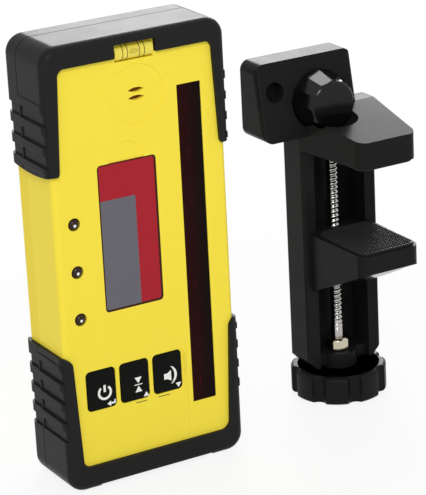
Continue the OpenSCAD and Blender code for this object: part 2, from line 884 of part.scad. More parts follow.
// Sound slot with pointed ends
module sound_slot() {
    intersection() {
        translate([0, slot_r - slot_h / 2]) circle(slot_r);
        translate([0, slot_h / 2 - slot_r]) circle(slot_r);
    }
}

// Openings of the front wall
module front_cuts() {
    through = in_face_y + over;
    // detector window
    translate([window_x, 0, window_z]) {
        front_view(front_y, window_in_y)
            square([window_w + 2 * fit, window_h + 2 * fit], center = true);
        front_view(front_y, through)
            square([window_w - 2 * window_ledge, window_h - 2 * window_ledge], center = true);
    }
    // display
    translate([film_x, 0, film_z]) {
        front_view(front_y, face_y + film_t + fit)
            round_rect(film_w + 2 * fit, film_h + 2 * fit, film_r);
        front_view(front_y, through)
            square([view_w, view_h], center = true);
    }
    // thumb hollow over the film
    translate([film_x, 0, film_top_z])
        rod_y(thumb_r, front_y, face_y + relief_t);
    // crease beside the keys
    translate([crease_x, 0, crease_z])
        front_view(front_y, face_y + relief_t)
            round_rect(crease_w, crease_l, crease_w / 3);
    // keys
    for (i = [0 : 2])
        translate([key_at(i), 0, key_z])
            front_view(front_y, through)
                round_rect(key_w + 2 * key_gap, key_h + 2 * key_gap, key_r + key_gap);
    // lamps
    for (i = [0 : 2])
        translate([led_x, 0, lamp_at(i)])
            rod_y(led_r + fit, front_y, through);
    // loudspeaker
    translate([sound_x, 0, sound_z]) {
        rod_y(dish_r, front_y, face_y + relief_t);
        for (s = [-1, 1])
            translate([0, 0, s * slot_pitch / 2])
                front_view(front_y, through) sound_slot();
    }
    // vial, laid in from the front
    translate([0, vial_y, vial_z]) {
        rod_x(vial_cut_r, vial_l + 2 * fit);
        translate([-vial_l / 2 - fit, -vial_set - proud - over, -vial_cut_r])
            cube([vial_l + 2 * fit, vial_set + proud + over, 2 * vial_cut_r]);
    }
}

// Seat behind the vial
module vial_seat() {
    w = vial_l + 2 * seat_wall;
    intersection() {
        translate([0, vial_y, vial_z])
            union() {
                rod_x(seat_r, w);
                translate([-w / 2, -vial_set + inlay, -seat_r])
                    cube([w, vial_set - inlay, 2 * seat_r]);
            }
        core_blank(0);
    }
}

module front_shell() {
    color("#f0d94e")
        difference() {
            union() {
                difference() {
                    intersection() {
                        shell_blank();
                        half_space(true);
                    }
                    cave();
                }
                vial_seat();
                // screw bosses
                at_shell_screws()
                    rod_y(boss_r, in_face_y - fit, part_y - gasket_t / 2);
                // board posts
                at_posts()
                    rod_y(post_r, in_face_y - fit, board_y - fit);
                // ribs that carry the detector board
                for (s = [-1, 1])
                    translate([window_x + s * (window_w + rib_t) / 2, 0, window_z])
                        front_view(in_face_y - fit, rib_y - fit)
                            square([rib_t, detector_l], center = true);
            }
            front_cuts();
            at_shell_screws()
                rod_y(screw_r + fit, part_y - screw_grip - over, part_y);
            at_posts()
                rod_y(board_screw_r + fit, board_y - board_screw_l - over, board_y);
        }
}

module rear_shell() {
    color("#ecd23f")
        difference() {
            union() {
                difference() {
                    intersection() {
                        shell_blank();
                        half_space(false);
                    }
                    cave();
                }
                // battery tub
                translate([-tub_out_w / 2, tub_front_y, tub_out_z])
                    cube([tub_out_w, in_back_y - tub_front_y + fit, tub_out_h]);
                // screw bosses
                at_shell_screws()
                    rod_y(boss_r, part_y + gasket_t / 2, in_back_y + fit);
                // boss around the bracket insert
                translate([0, 0, insert_z])
                    rod_y(insert_out_r + insert_wall, insert_y - insert_wall, in_back_y + fit);
            }
            // battery space
            translate([-tub_in_w / 2, tub_y, tub_z])
                cube([tub_in_w, back_y - tub_y, tub_in_h]);
            // door opening, back to the seal's rim
            translate([-door_w / 2 - door_gap, rim_y, door_z - door_gap])
                cube([door_w + 2 * door_gap, back_y - rim_y + over, door_h + 2 * door_gap]);
            // hinge groove and pin holes
            translate([0, barrel_y, barrel_z]) {
                rod_x(barrel_gap_r, door_w + 2 * door_gap);
                rod_x(pin_r + fit, pin_l + 2 * fit);
            }
            at_shell_screws() {
                rod_y(screw_r + 2 * fit, part_y, back_y);
                rod_y(screw_head_r + 2 * fit, screw_head_y - fit, back_y + over);
            }
            translate([0, 0, insert_z])
                rod_y(insert_out_r + fit, insert_y - fit, back_y + over);
        }
}

module shell_gasket() {
    color("#1d1d1d")
        difference() {
            intersection() {
                core_blank(-inlay / 2);
                translate([0, part_y, mid_z])
                    cube([recv_w, gasket_t - 2 * fit, recv_h], center = true);
            }
            cave();
        }
}

module shell_screws() {
    color("silver")
        at_shell_screws()
            difference() {
                union() {
                    rod_y(screw_r, part_y - screw_grip, screw_head_y + fit);
                    rod_y(screw_head_r, screw_head_y, screw_head_y + screw_head_t);
                }
                for (a = [0, 90])
                    rotate([0, a, 0])
                        translate([0, screw_head_y + screw_head_t, 0])
                            cube([2 * screw_r, screw_head_t, slot_w], center = true);
            }
}

module front_top_bumper() { bumper(true, true); }
module rear_top_bumper() { bumper(false, true); }
module front_bottom_bumper() { bumper(true, false); }
module rear_bottom_bumper() { bumper(false, false); }

module detector_window() {
    color("#3a1218")
        translate([window_x, 0, window_z])
            front_view(window_y, window_y + window_t)
                square([window_w, window_h], center = true);
}

module detector_board() {
    color("#1f5a36")
        translate([window_x, 0, window_z])
            front_view(rib_y, rib_y + detector_t)
                square([detector_w, detector_l], center = true);
}

module photodiodes() {
    color("#1a1a22")
        for (i = [0 : diode_count - 1])
            translate([window_x, 0, window_z + (i - (diode_count - 1) / 2) * diode_pitch])
                front_view(rib_y - diode_t - fit, rib_y - fit)
                    square([diode_w, diode_l], center = true);
}

module display_film() {
    color("#a22a35")
        translate([film_x, 0, film_z])
            front_view(face_y, face_y + film_t)
                round_rect(film_w, film_h, film_r);
}

module display_glass() {
    color("#7d8a78")
        translate([film_x, 0, film_z])
            front_view(glass_y, glass_y + glass_t)
                square([glass_w, glass_h], center = true);
}

module display_frame() {
    color("#e8e8e8")
        translate([film_x, 0, film_z])
            difference() {
                front_view(frame_y, board_y - fit)
                    square([glass_w, glass_h], center = true);
                front_view(frame_y - over, board_y - glass_t)
                    square([view_w, view_h], center = true);
            }
}

// One key: cap, the rim that keeps it in, and the plunger over its switch
module key(i) {
    color("#262626")
        translate([key_at(i), 0, key_z]) {
            front_view(face_y - key_proud, rim_in_y + key_rim_t)
                round_rect(key_w, key_h, key_r);
            front_view(rim_in_y, rim_in_y + key_rim_t)
                round_rect(key_w + 2 * key_rim, key_h + 2 * key_rim, key_r + key_rim);
            rod_y(plunger_r, rim_in_y, plunger_y);
        }
}

module key_power() { key(0); }
module key_band() { key(1); }
module key_sound() { key(2); }

module key_switches() {
    color("#3c3c40")
        for (i = [0 : 2])
            translate([key_at(i), 0, key_z]) {
                front_view(board_y - switch_h, board_y - fit)
                    square(switch_w, center = true);
                rod_y(switch_r, board_y - switch_top, board_y - switch_h / 2);
            }
}

// One lamp: dome, body, rim behind the wall and two wires to the board
module led(i) {
    dome_y = face_y - led_proud + led_r;
    color("#2a2426")
        translate([led_x, 0, lamp_at(i)]) {
            translate([0, dome_y, 0]) sphere(led_r);
            rod_y(led_r, dome_y, in_face_y + led_rim_t);
            rod_y(led_r + led_rim, in_face_y + fit, in_face_y + led_rim_t);
            for (s = [-1, 1])
                translate([s * wire_gap / 2, 0, 0])
                    rod_y(wire_r, in_face_y, board_y - fit);
        }
}

module led_high() { led(0); }
module led_level() { led(1); }
module led_low() { led(2); }

module vial_barrel() {
    color("#cddc4a")
        translate([0, vial_y, vial_z])
            difference() {
                rod_x(vial_r, vial_l);
                rod_x(vial_r - vial_wall, vial_l - 2 * vial_wall);
            }
}

module vial_liquid() {
    color("#b6d61e")
        translate([0, vial_y, vial_z])
            difference() {
                rod_x(vial_r - vial_wall - fit, vial_l - 2 * vial_wall - 2 * fit);
                translate([0, 0, vial_r - vial_wall - bubble_r - 2 * fit]) {
                    rod_x(bubble_r, bubble_l - 2 * bubble_r);
                    for (s = [-1, 1])
                        translate([s * (bubble_l / 2 - bubble_r), 0, 0]) sphere(bubble_r);
                }
            }
}

module loudspeaker() {
    magnet_share = 0.62;
    color("#303034")
        translate([sound_x, 0, sound_z]) {
            rod_y(speaker_r, speaker_y, speaker_y + speaker_t / 2);
            rod_y(speaker_r * magnet_share, speaker_y, speaker_y + speaker_t);
        }
}

module loudspeaker_gasket() {
    color("#111111")
        translate([sound_x, 0, sound_z])
            difference() {
                rod_y(speaker_r, in_face_y + fit, speaker_y - fit);
                rod_y(speaker_r - speaker_gasket_w, in_face_y - over, speaker_y + over);
            }
}

module main_board() {
    color("#1f6a3c")
        difference() {
            translate([-board_w / 2, board_y, board_z])
                cube([board_w, board_t, board_l]);
            at_posts()
                rod_y(board_screw_r + 2 * fit, board_y - over, board_back_y + over);
        }
}

module board_screws() {
    color("silver")
        at_posts() {
            rod_y(board_screw_r, board_y - board_screw_l, board_back_y + fit);
            rod_y(board_head_r, board_back_y + fit, board_back_y + board_head_t);
        }
}

// One battery, its button up or down
module battery(x, up) {
    color("#3b6f8f")
        translate([x, cell_y, cell_z + cell_l / 2])
            mirror([0, 0, up ? 0 : 1])
                translate([0, 0, -cell_l / 2]) {
                    cylinder(d = cell_d, h = cell_l - cell_button_t);
                    cylinder(r = cell_button_r, h = cell_l);
                }
}

module battery_left() { battery(-cell_x, true); }
module battery_right() { battery(cell_x, false); }

module battery_contacts() {
    color("silver")
        for (x = [-cell_x, cell_x], low = [0, 1])
            translate([x, cell_y, tub_z + tub_in_h / 2])
                mirror([0, 0, low])
                    translate([0, 0, tub_in_h / 2 - contact_t - fit]) {
                        translate([-contact_w / 2, -contact_w / 2, 0])
                            cube([contact_w, contact_w, contact_t]);
                        translate([0, 0, contact_t + 2 * fit - contact_space])
                            cylinder(r = dimple_r, h = contact_space - contact_t);
                    }
}

module battery_door() {
    color("#ecd23f")
        difference() {
            union() {
                translate([-door_w / 2, door_in_y, barrel_z])
                    cube([door_w, door_t, door_top_z - barrel_z]);
                translate([0, barrel_y, barrel_z])
                    rod_x(barrel_r, door_w);
            }
            translate([0, barrel_y, barrel_z])
                rod_x(pin_r + pin_fit, door_w + 2 * over);
            // finger hollow near the upper edge
            translate([0, back_y + finger_r - finger_t, door_top_z - finger_r])
                rod_x(finger_r, finger_w);
        }
}

module door_pin() {
    color("silver")
        translate([0, barrel_y, barrel_z]) rod_x(pin_r, pin_l);
}

module door_seal() {
    color("#1d1d1d")
        difference() {
            translate([-door_w / 2, rim_y + fit, tub_z - seal_w + fit])
                cube([door_w, seal_t - fit, tub_in_h + 2 * seal_w - 2 * fit]);
            translate([-tub_in_w / 2, rim_y - over, tub_z])
                cube([tub_in_w, seal_t + 2 * over, tub_in_h]);
        }
}

module bracket_insert() {
    color("#c8a552")
        translate([0, 0, insert_z])
            difference() {
                rod_y(insert_out_r, insert_y, back_y);
                rod_y(insert_r, insert_y - over, back_y + over);
            }
}

// Plan of a jaw: it tapers from root_w at y0 to w at its tip, whose corners are round
module jaw_plan(w, root_w, y0) {
    translate([0, y0]) mirror([0, 1]) tapered_tab(w, root_w, y0 + jaw_reach, jaw_r);
}

module clamp_frame() {
    color("#2e2e2e")
        difference() {
            union() {
                column();
                fixed_jaw();
                mounting_block();
                translate([0, 0, bearing_z])
                    cylinder(r = bearing_r, h = floor_z - bearing_z);
            }
            // bearings of the lead screw
            translate([0, 0, bearing_z - over])
                cylinder(r = journal_r + screw_fit, h = floor_z);
            translate([0, 0, fixed_z - over])
                cylinder(r = lead_r + screw_fit, h = lead_top + 2 * over - fixed_z);
            // fixing screw, its knob's seat and its ring's recess
            translate([-fix_x, 0, fix_z]) {
                rod_y(fix_screw_r + fix_screw_gap, -jaw_reach, col_back + over);
                knob_pocket();
                rod_y(ring_r + ring_gap, col_back - ring_recess, col_back + over);
            }
            // cored hole
            translate([-fix_x - core_x, 0, fix_z + core_rise])
                rod_y(core_r, -jaw_reach, block_face_y(fix_z + core_rise) + core_t);
        }
}

// Pocket that follows the fixing knob, with a hollow in front of the knob's face
module knob_pocket() {
    l = fix_play + fix_l;
    translate([0, fix_seat_y, 0])
        rotate([90, 0, 0])
            rotate_extrude()
                polygon([
                    [0, 0],
                    [fix_rear_r + fix_gap, 0],
                    [fix_rear_r + fix_gap, fix_play + fix_chamfer],
                    [fix_face_r + fix_gap, l],
                    [0, l]
                ]);
    translate([0, fix_face_y, 0]) sphere(fix_scoop_r);
}

// Front of the sloping mounting block at a height
function block_face_y(z) =
    col_back - block_bottom_t + (block_bottom_t - block_top_t) * (z - block_z) / block_h;

// Channel column that the moving jaw slides in
module column() {
    difference() {
        translate([0, (col_back - col_front) / 2, col_z])
            linear_extrude(col_top - col_z)
                round_rect(col_w, col_front + col_back, col_r);
        // round upper rear edge
        translate([0, col_back - col_top_r, col_top - col_top_r])
            difference() {
                translate([-col_w / 2 - over, 0, 0])
                    cube([col_w + 2 * over, col_top_r + over, col_top_r + over]);
                rod_x(col_top_r, col_w + 4 * over);
            }
        // channel
        translate([-chan_w / 2, -col_front - over, floor_z])
            cube([chan_w, chan_y + col_front + over, fixed_z - floor_z]);
        // chamfered lower corners
        for (s = [-1, 1])
            translate([s * col_w / 2, 0, col_z])
                rotate([0, 45, 0])
                    cube([col_cut, 2 * jaw_reach, col_cut], center = true);
        // hollow front of the floor, so that the boss stands free
        translate([-chan_w / 2, -col_front - over, col_z - over])
            cube([chan_w, over + col_front / 2, floor_z - col_z + 2 * over]);
    }
}

// Fixed jaw, from its tip back into the column
module fixed_jaw() {
    intersection() {
        side_view(col_w)
            polygon([
                [-jaw_reach - over, fixed_z],
                [0, fixed_z],
                [0, col_top],
                [-col_front, col_top],
                [-jaw_reach, fixed_z + fixed_tip_t],
                [-jaw_reach - over, fixed_z + fixed_tip_t]
            ]);
        translate([0, 0, fixed_z - over])
            linear_extrude(fixed_root_t + 2 * over)
                jaw_plan(fixed_w, col_w - 2 * fit, col_r - col_front);
    }
}

// Block that is screwed to the receiver's back; its face slopes
module mounting_block() {
    intersection() {
        translate([block_mid_x, 0, 0])
            side_view(block_w + 2 * over)
                polygon([
                    [block_face_y(block_z), block_z],
                    [col_back, block_z],
                    [col_back, block_top],
                    [block_face_y(block_top), block_top]
                ]);
        translate([block_mid_x, 0, block_mid_z])
            front_view(-jaw_reach, jaw_reach)
                round_rect(block_w, block_h, block_r);
        // side edges of the sloping face
        translate([block_mid_x, block_face_y(block_z), block_z])
            rotate([-block_slope, 0, 0])
                translate([0, block_h / 2, -block_h / 2])
                    linear_extrude(2 * block_h) round_rect(block_w, block_h, block_edge_r);
    }
}

module fixed_jaw_pad() {
    color("#1c1c1c")
        translate([0, 0, fixed_z - pad_t])
            linear_extrude(pad_t - fit) pad_plan(fixed_w);
}

// Plan of the pad on a jaw of a given width
module pad_plan(jaw_w) {
    w = jaw_w - 2 * pad_margin;
    l = jaw_l - 2 * pad_margin;
    translate([0, -jaw_reach + pad_margin + l / 2]) round_rect(w, l, pad_r);
}

module moving_jaw() {
    slide_w = chan_w - 2 * jaw_gap;
    color("#2b2b2b")
        difference() {
            union() {
                intersection() {
                    side_view(moving_root_w + 2 * over)
                        polygon([
                            [-jaw_reach - over, moving_z],
                            [-col_front - jaw_gap, moving_z],
                            [-col_front - jaw_gap, moving_low],
                            [-jaw_reach, moving_z - moving_tip_t],
                            [-jaw_reach - over, moving_z - moving_tip_t]
                        ]);
                    translate([0, 0, moving_low - over])
                        linear_extrude(moving_root_t + 2 * over)
                            jaw_plan(moving_w, moving_root_w, -col_front - jaw_gap);
                }
                translate([-slide_w / 2, -col_front - jaw_gap - fit, moving_low])
                    cube([slide_w, chan_y + col_front + fit, moving_root_t]);
            }
            translate([0, 0, moving_low - over])
                cylinder(r = lead_r + lead_gap, h = moving_root_t + 2 * over);
            // seat of the nut, open below
            translate([0, 0, moving_low - over])
                cylinder(d = nut_w + 2 * fit, h = nut_rise + nut_h + over + fit, $fn = 6);
        }
}

module moving_jaw_pad() {
    color("#1c1c1c")
        translate([0, 0, moving_z + fit])
            linear_extrude(pad_t - fit) pad_plan(moving_w);
}

module jaw_nut() {
    color("#b9a15a")
        translate([0, 0, nut_z])
            difference() {
                cylinder(d = nut_w, h = nut_h, $fn = 6);
                translate([0, 0, -over])
                    cylinder(r = lead_r + screw_fit, h = nut_h + 2 * over);
            }
}

module lead_screw() {
    color("#c9cccf")
        difference() {
            union() {
                translate([0, 0, collar_z])
                    cylinder(r = lead_r, h = lead_top - collar_z);
                translate([0, 0, journal_z])
                    cylinder(r = journal_r, h = collar_z - journal_z + fit);
            }
            translate([0, 0, journal_z - over])
                cylinder(r = knob_screw_r + fit, h = knob_screw_l + 2 * over);
        }
}

module thrust_collar() {
    color("#b8bbbe")
        translate([0, 0, collar_z])
            difference() {
                rotate_extrude()
                    polygon([
                        [0, 0],
                        [collar_r, 0],
                        [collar_r, collar_h - collar_chamfer],
                        [collar_r - collar_chamfer, collar_h],
                        [0, collar_h]
                    ]);
                translate([0, 0, -over])
                    cylinder(r = lead_r + fit, h = collar_h + 2 * over);
            }
}

module clamp_knob() {
    color("#242426")
        difference() {
            rotate_extrude()
                polygon([
                    [0, 0],
                    [knob_r - knob_chamfer, 0],
                    [knob_r, knob_chamfer],
                    [knob_r, knob_h - knob_chamfer],
                    [knob_r - knob_chamfer, knob_h],
                    [knob_in_r + knob_chamfer, knob_h],
                    [knob_in_r, knob_h - knob_chamfer],
                    [knob_in_r, knob_floor],
                    [0, knob_floor]
                ]);
            for (i = [0 : knob_lobes - 1])
                rotate([0, 0, knob_turn + i * 360 / knob_lobes])
                    translate([0, knob_groove_t - knob_r - knob_groove_r, -over])
                        cylinder(r = knob_groove_r, h = knob_h + 2 * over);
            translate([0, 0, journal_z - fit])
                cylinder(r = journal_r + fit, h = knob_floor);
            translate([0, 0, -over])
                cylinder(r = knob_screw_r + 2 * fit, h = knob_floor + over);
            translate([0, 0, -over])
                cylinder(r = knob_head_r + 2 * fit, h = knob_head_t + over + fit);
        }
}

module knob_screw() {
    color("silver")
        difference() {
            union() {
                cylinder(r = knob_head_r, h = knob_head_t);
                cylinder(r = knob_screw_r, h = journal_z + knob_screw_l);
            }
            cube([2 * knob_head_r + over, slot_w, knob_head_t], center = true);
        }
}

module fixing_knob() {
    blank_r = fix_rear_r + over;
    flat_face_r = fix_face_r - fix_chamfer;
    color("#1c1c1f")
        translate([-fix_x, fix_rear_y, fix_z])
            rotate([90, 0, 0])
                difference() {
                    // blank with the turned edge of the face
                    rotate_extrude()
                        polygon([
                            [0, 0],
                            [blank_r, 0],
                            [blank_r, fix_l + flat_face_r - blank_r],
                            [flat_face_r, fix_l],
                            [0, fix_l]
                        ]);
                    for (i = [0 : fix_flats - 1])
                        rotate([0, 0, (i + 1 / 2) * 360 / fix_flats])
                            fixing_flat();
                    translate([0, 0, -over])
                        cylinder(r = fix_screw_r + fit, h = fix_screw_hold + over + fit);
                }
}

// Space outside one flat of the knob's tapering side
module fixing_flat() {
    inset_share = cos(180 / fix_flats);
    lean = atan((fix_rear_r - fix_face_r) * inset_share / fix_l);
    translate([fix_rear_r * inset_share, 0, 0])
        rotate([0, -lean, 0])
            translate([0, -fix_rear_r, -fix_l])
                cube([fix_rear_r, 2 * fix_rear_r, 3 * fix_l]);
}

module fixing_screw() {
    color("#c9cccf")
        translate([-fix_x, 0, fix_z])
            difference() {
                rod_y(fix_screw_r, fix_rear_y - fix_screw_hold, col_back + fix_screw_out);
                // groove of the retaining ring
                difference() {
                    rod_y(fix_screw_r + over, ring_y, ring_y + ring_t);
                    rod_y(fix_screw_r - ring_t / 2, ring_y - over, ring_y + ring_t + over);
                }
            }
}

module retaining_ring() {
    color("#9a9da0")
        translate([-fix_x, 0, fix_z])
            difference() {
                rod_y(ring_r, ring_y + fit, ring_y + ring_t - fit);
                rod_y(fix_screw_r - ring_t / 2 + fit, ring_y - over, ring_y + ring_t + over);
            }
}

at_receiver() front_shell();
at_receiver() rear_shell();
at_receiver() shell_gasket();
at_receiver() shell_screws();
at_receiver() front_top_bumper();
at_receiver() rear_top_bumper();
at_receiver() front_bottom_bumper();
at_receiver() rear_bottom_bumper();
at_receiver() detector_window();
at_receiver() detector_board();
at_receiver() photodiodes();
at_receiver() display_film();
at_receiver() display_glass();
at_receiver() display_frame();
at_receiver() key_power();
at_receiver() key_band();
at_receiver() key_sound();
at_receiver() key_switches();
at_receiver() led_high();
at_receiver() led_level();
at_receiver() led_low();
at_receiver() vial_barrel();
at_receiver() vial_liquid();
at_receiver() loudspeaker();
at_receiver() loudspeaker_gasket();
at_receiver() main_board();
at_receiver() board_screws();
at_receiver() battery_left();
at_receiver() battery_right();
at_receiver() battery_contacts();
at_receiver() battery_door();
at_receiver() door_pin();
at_receiver() door_seal();
at_receiver() bracket_insert();
at_clamp() clamp_frame();
at_clamp() fixed_jaw_pad();
at_clamp() moving_jaw();
at_clamp() moving_jaw_pad();
at_clamp() jaw_nut();
at_clamp() lead_screw();
at_clamp() thrust_collar();
at_clamp() clamp_knob();
at_clamp() knob_screw();
at_clamp() fixing_knob();
at_clamp() fixing_screw();
at_clamp() retaining_ring();
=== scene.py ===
import math

import bmesh
import bpy
from mathutils import Matrix, Vector


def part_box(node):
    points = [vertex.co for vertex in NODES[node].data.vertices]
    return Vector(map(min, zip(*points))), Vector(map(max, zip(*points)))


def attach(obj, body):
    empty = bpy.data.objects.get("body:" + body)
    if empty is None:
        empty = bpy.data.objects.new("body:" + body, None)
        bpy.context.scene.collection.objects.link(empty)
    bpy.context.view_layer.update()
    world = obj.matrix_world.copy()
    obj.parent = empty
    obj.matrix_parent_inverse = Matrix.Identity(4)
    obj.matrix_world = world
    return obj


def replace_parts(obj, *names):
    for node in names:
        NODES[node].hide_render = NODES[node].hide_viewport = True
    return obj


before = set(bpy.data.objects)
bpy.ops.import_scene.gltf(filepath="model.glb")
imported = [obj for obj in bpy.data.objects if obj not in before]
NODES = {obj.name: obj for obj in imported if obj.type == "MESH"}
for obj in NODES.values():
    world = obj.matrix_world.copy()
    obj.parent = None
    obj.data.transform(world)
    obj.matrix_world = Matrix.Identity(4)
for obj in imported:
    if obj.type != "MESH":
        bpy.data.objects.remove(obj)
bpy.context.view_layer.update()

MM, MICRON = 0.001, 1e-6


# Colours and materials

def linear(rgb):
    """A display colour, 0 to 255, as the scene-linear colour that shaders take."""
    def one(v):
        v = v / 255.0
        return v / 12.92 if v <= 0.04045 else ((v + 0.055) / 1.055) ** 2.4
    return tuple(one(v) for v in rgb) + (1.0,)


def scaled(colour, share):
    """A colour made darker or lighter by a share."""
    return tuple(min(1.0, v * share) for v in colour[:3]) + (1.0,)


def node(tree, kind, **inputs):
    """A new shader node with values on its inputs."""
    made = tree.nodes.new(kind)
    for key, value in inputs.items():
        made.inputs[key.replace("_", " ")].default_value = value
    return made


SLOW_DETAIL, FINE_DETAIL, LEAST_ROUGH = 3.0, 2.0, 0.02


def material(name, rgb, rough, mottle=0.05, mottle_mm=9.0, rough_swing=0.05, grain_mm=0.35,
             grain_um=6.0, grain=0.4, stretch=(1, 1, 1), far=None, **sockets):
    """A finish with a slow change of colour, a change of gloss and a fine moulded or turned grain.

    grain_um is the depth of the grain, and stretch squeezes the pattern along an axis. far is the
    colour at the right end of the piece, where it changes from left to right.
    """
    made = bpy.data.materials.new(name)
    made.use_nodes = True
    tree = made.node_tree
    shader = tree.nodes["Principled BSDF"]
    colour = linear(rgb)
    shader.inputs["Base Color"].default_value = colour
    shader.inputs["Roughness"].default_value = rough
    for key, value in sockets.items():
        shader.inputs[key.replace("_", " ")].default_value = value
    made.diffuse_color = colour
    place = tree.nodes.new("ShaderNodeTexCoord")
    mapping = node(tree, "ShaderNodeMapping", Scale=stretch)
    tree.links.new(place.outputs["Object"], mapping.inputs["Vector"])

    def noise(size_mm, detail):
        made_noise = node(tree, "ShaderNodeTexNoise", Scale=1 / (size_mm * MM), Detail=detail)
        tree.links.new(mapping.outputs["Vector"], made_noise.inputs["Vector"])
        return made_noise.outputs["Fac"]

    slow = noise(mottle_mm, SLOW_DETAIL)
    if mottle or far:
        mix = tree.nodes.new("ShaderNodeMix")
        mix.data_type = "RGBA"
        colour_in = [i for i in mix.inputs if i.type == "RGBA"]
        colour_in[0].default_value = colour if far else scaled(colour, 1 - mottle)
        colour_in[1].default_value = linear(far) if far else scaled(colour, 1 + mottle)
        share = slow
        if far:
            split = tree.nodes.new("ShaderNodeSeparateXYZ")
            tree.links.new(place.outputs["Generated"], split.inputs["Vector"])
            share = split.outputs["X"]
        tree.links.new(share, mix.inputs["Factor"])
        colour_out = [o for o in mix.outputs if o.type == "RGBA"][0]
        tree.links.new(colour_out, shader.inputs["Base Color"])
    fine = noise(grain_mm, FINE_DETAIL)
    if rough_swing:
        swing = node(tree, "ShaderNodeMapRange", To_Min=max(LEAST_ROUGH, rough - rough_swing),
                     To_Max=rough + rough_swing)
        tree.links.new(slow, swing.inputs["Value"])
        tree.links.new(swing.outputs["Result"], shader.inputs["Roughness"])
    if grain:
        bump = node(tree, "ShaderNodeBump", Strength=grain, Distance=grain_um * MICRON)
        tree.links.new(fine, bump.inputs["Height"])
        tree.links.new(bump.outputs["Normal"], shader.inputs["Normal"])
    return made


YELLOW = material("shell_yellow", (248, 226, 70), 0.44, mottle=0.012, mottle_mm=30, grain_mm=0.3,
                  grain_um=5, grain=0.35, Specular_IOR_Level=0.12)
YELLOW_REAR = material("shell_yellow_rear", (244, 220, 64), 0.46, mottle=0.012, mottle_mm=30,
                       grain_mm=0.3, grain_um=6, grain=0.4, Specular_IOR_Level=0.12)
BUMPER = material("bumper_rubber", (36, 36, 36), 0.3, mottle=0.08, rough_swing=0.04, grain_mm=0.25,
                  grain_um=7, grain=0.5, Specular_IOR_Level=0.045)
CLAMP = material("clamp_plastic", (29, 29, 30), 0.3, mottle=0.08, rough_swing=0.04, grain_mm=0.22,
                 grain_um=7, grain=0.55, Specular_IOR_Level=0.045)
JAW = material("jaw_plastic", (29, 29, 30), 0.3, mottle=0.08, rough_swing=0.04, grain_mm=0.2,
               grain_um=7, grain=0.55, Specular_IOR_Level=0.045)
JAW_GLOSS = material("jaw_gloss", (24, 24, 25), 0.14, mottle=0.05, rough_swing=0.03, grain_mm=0.9,
                     grain_um=3, grain=0.1, Specular_IOR_Level=0.5)
KNOB = material("knob_plastic", (24, 24, 26), 0.32, mottle=0.08, rough_swing=0.04, grain_mm=0.3,
                grain_um=5, grain=0.4, Specular_IOR_Level=0.08)
KNOB_GLOSS = material("knob_gloss", (12, 12, 14), 0.13, mottle=0.05, rough_swing=0.03,
                      grain_mm=0.9, grain_um=4, grain=0.15, Specular_IOR_Level=0.24)
PAD = material("pad_rubber", (34, 35, 36), 0.42, mottle=0.1, grain_mm=0.2, grain_um=10, grain=0.6,
               Specular_IOR_Level=0.12)
KEY = material("key_rubber", (18, 20, 18), 0.5, mottle=0.06, grain_mm=0.2, grain_um=5, grain=0.4,
               Specular_IOR_Level=0.04)
# White for the printed signs, also used for the painted highlight dots on the lamps
PRINT_WHITE_AND_HIGHLIGHT = material("print_white_and_highlight", (238, 238, 236), 0.5, mottle=0.02, grain_mm=0.2, grain_um=2,
                       grain=0.2)
PRINT_BLACK = material("print_black", (34, 30, 24), 0.5, mottle=0.04, grain_mm=0.2, grain_um=2,
                       grain=0.2)
FILM_RED = material("film_red", (166, 32, 44), 0.34, mottle=0.03, mottle_mm=14, grain_mm=1.4,
                    grain_um=4, grain=0.12, Specular_IOR_Level=0.12)
FILM_GREY = material("film_grey", (103, 101, 109), 0.34, mottle=0.03, mottle_mm=14, grain_mm=1.4,
                     grain_um=4, grain=0.12, Specular_IOR_Level=0.12)
# Dark brown painted as the shadow in the recess around the display film
FILM_RECESS_SHADOW = material("film_recess_shadow", (52, 26, 12), 0.34, mottle=0.04, grain_mm=1.4, grain_um=4,
                     grain=0.12, Specular_IOR_Level=0.12)
WINDOW = material("window_filter", (41, 9, 8), 0.12, mottle=0, mottle_mm=2.5, rough_swing=0.03,
                  grain_mm=3.0, grain_um=6, grain=0.1, far=(17, 12, 10), Specular_IOR_Level=0.04)
WINDOW_GLINT = material("window_glint", (66, 14, 18), 0.2, mottle=0.2, mottle_mm=1.5, grain_mm=1.0,
                        grain_um=3, grain=0.1, Specular_IOR_Level=0.04)
GLASS = material("display_glass", (150, 160, 148), 0.06, mottle=0.03, rough_swing=0.02, grain=0.1)
STEEL = material("steel", (182, 181, 180), 0.22, mottle=0.06, mottle_mm=2.5, rough_swing=0.08,
                 grain_mm=0.3, grain_um=4, grain=0.35, stretch=(1, 1, 4), Metallic=1.0)
SCREW = material("screw_steel", (176, 174, 170), 0.15, mottle=0.08, mottle_mm=2.5, rough_swing=0.03,
                 grain_mm=0.3, grain_um=2, grain=0.15, Metallic=1.0)
COLLAR = material("collar_steel", (196, 188, 166), 0.12, mottle=0.06, mottle_mm=2.5,
                  rough_swing=0.03, grain_mm=0.3, grain_um=2, grain=0.15, Metallic=1.0)
BRASS = material("brass", (214, 176, 92), 0.3, mottle=0.08, mottle_mm=2.5, rough_swing=0.08,
                 grain_mm=0.3, grain_um=4, grain=0.3, Metallic=1.0)
BOARD = material("board_green", (34, 96, 58), 0.4, mottle=0.12, mottle_mm=3, grain_mm=0.5,
                 grain_um=8, grain=0.4)
CHIP = material("diode_chip", (92, 88, 96), 0.3, mottle=0.2, mottle_mm=2.2, grain_mm=0.6,
                grain_um=5, grain=0.3)
SWITCH = material("switch_black", (38, 38, 40), 0.45, mottle=0.08, grain_mm=0.3, grain_um=6)
SPEAKER = material("speaker_brown", (150, 74, 22), 0.6, mottle=0.08, grain_mm=0.4, grain_um=8)
WHITE_PLASTIC = material("frame_white", (228, 228, 226), 0.5, mottle=0.03, grain_mm=0.4, grain_um=5)
LAMP = material("lamp_lens", (42, 25, 17), 0.1, mottle=0.15, mottle_mm=2, rough_swing=0.03,
                grain_mm=1.2, grain_um=2, grain=0.1, Specular_IOR_Level=0.22)
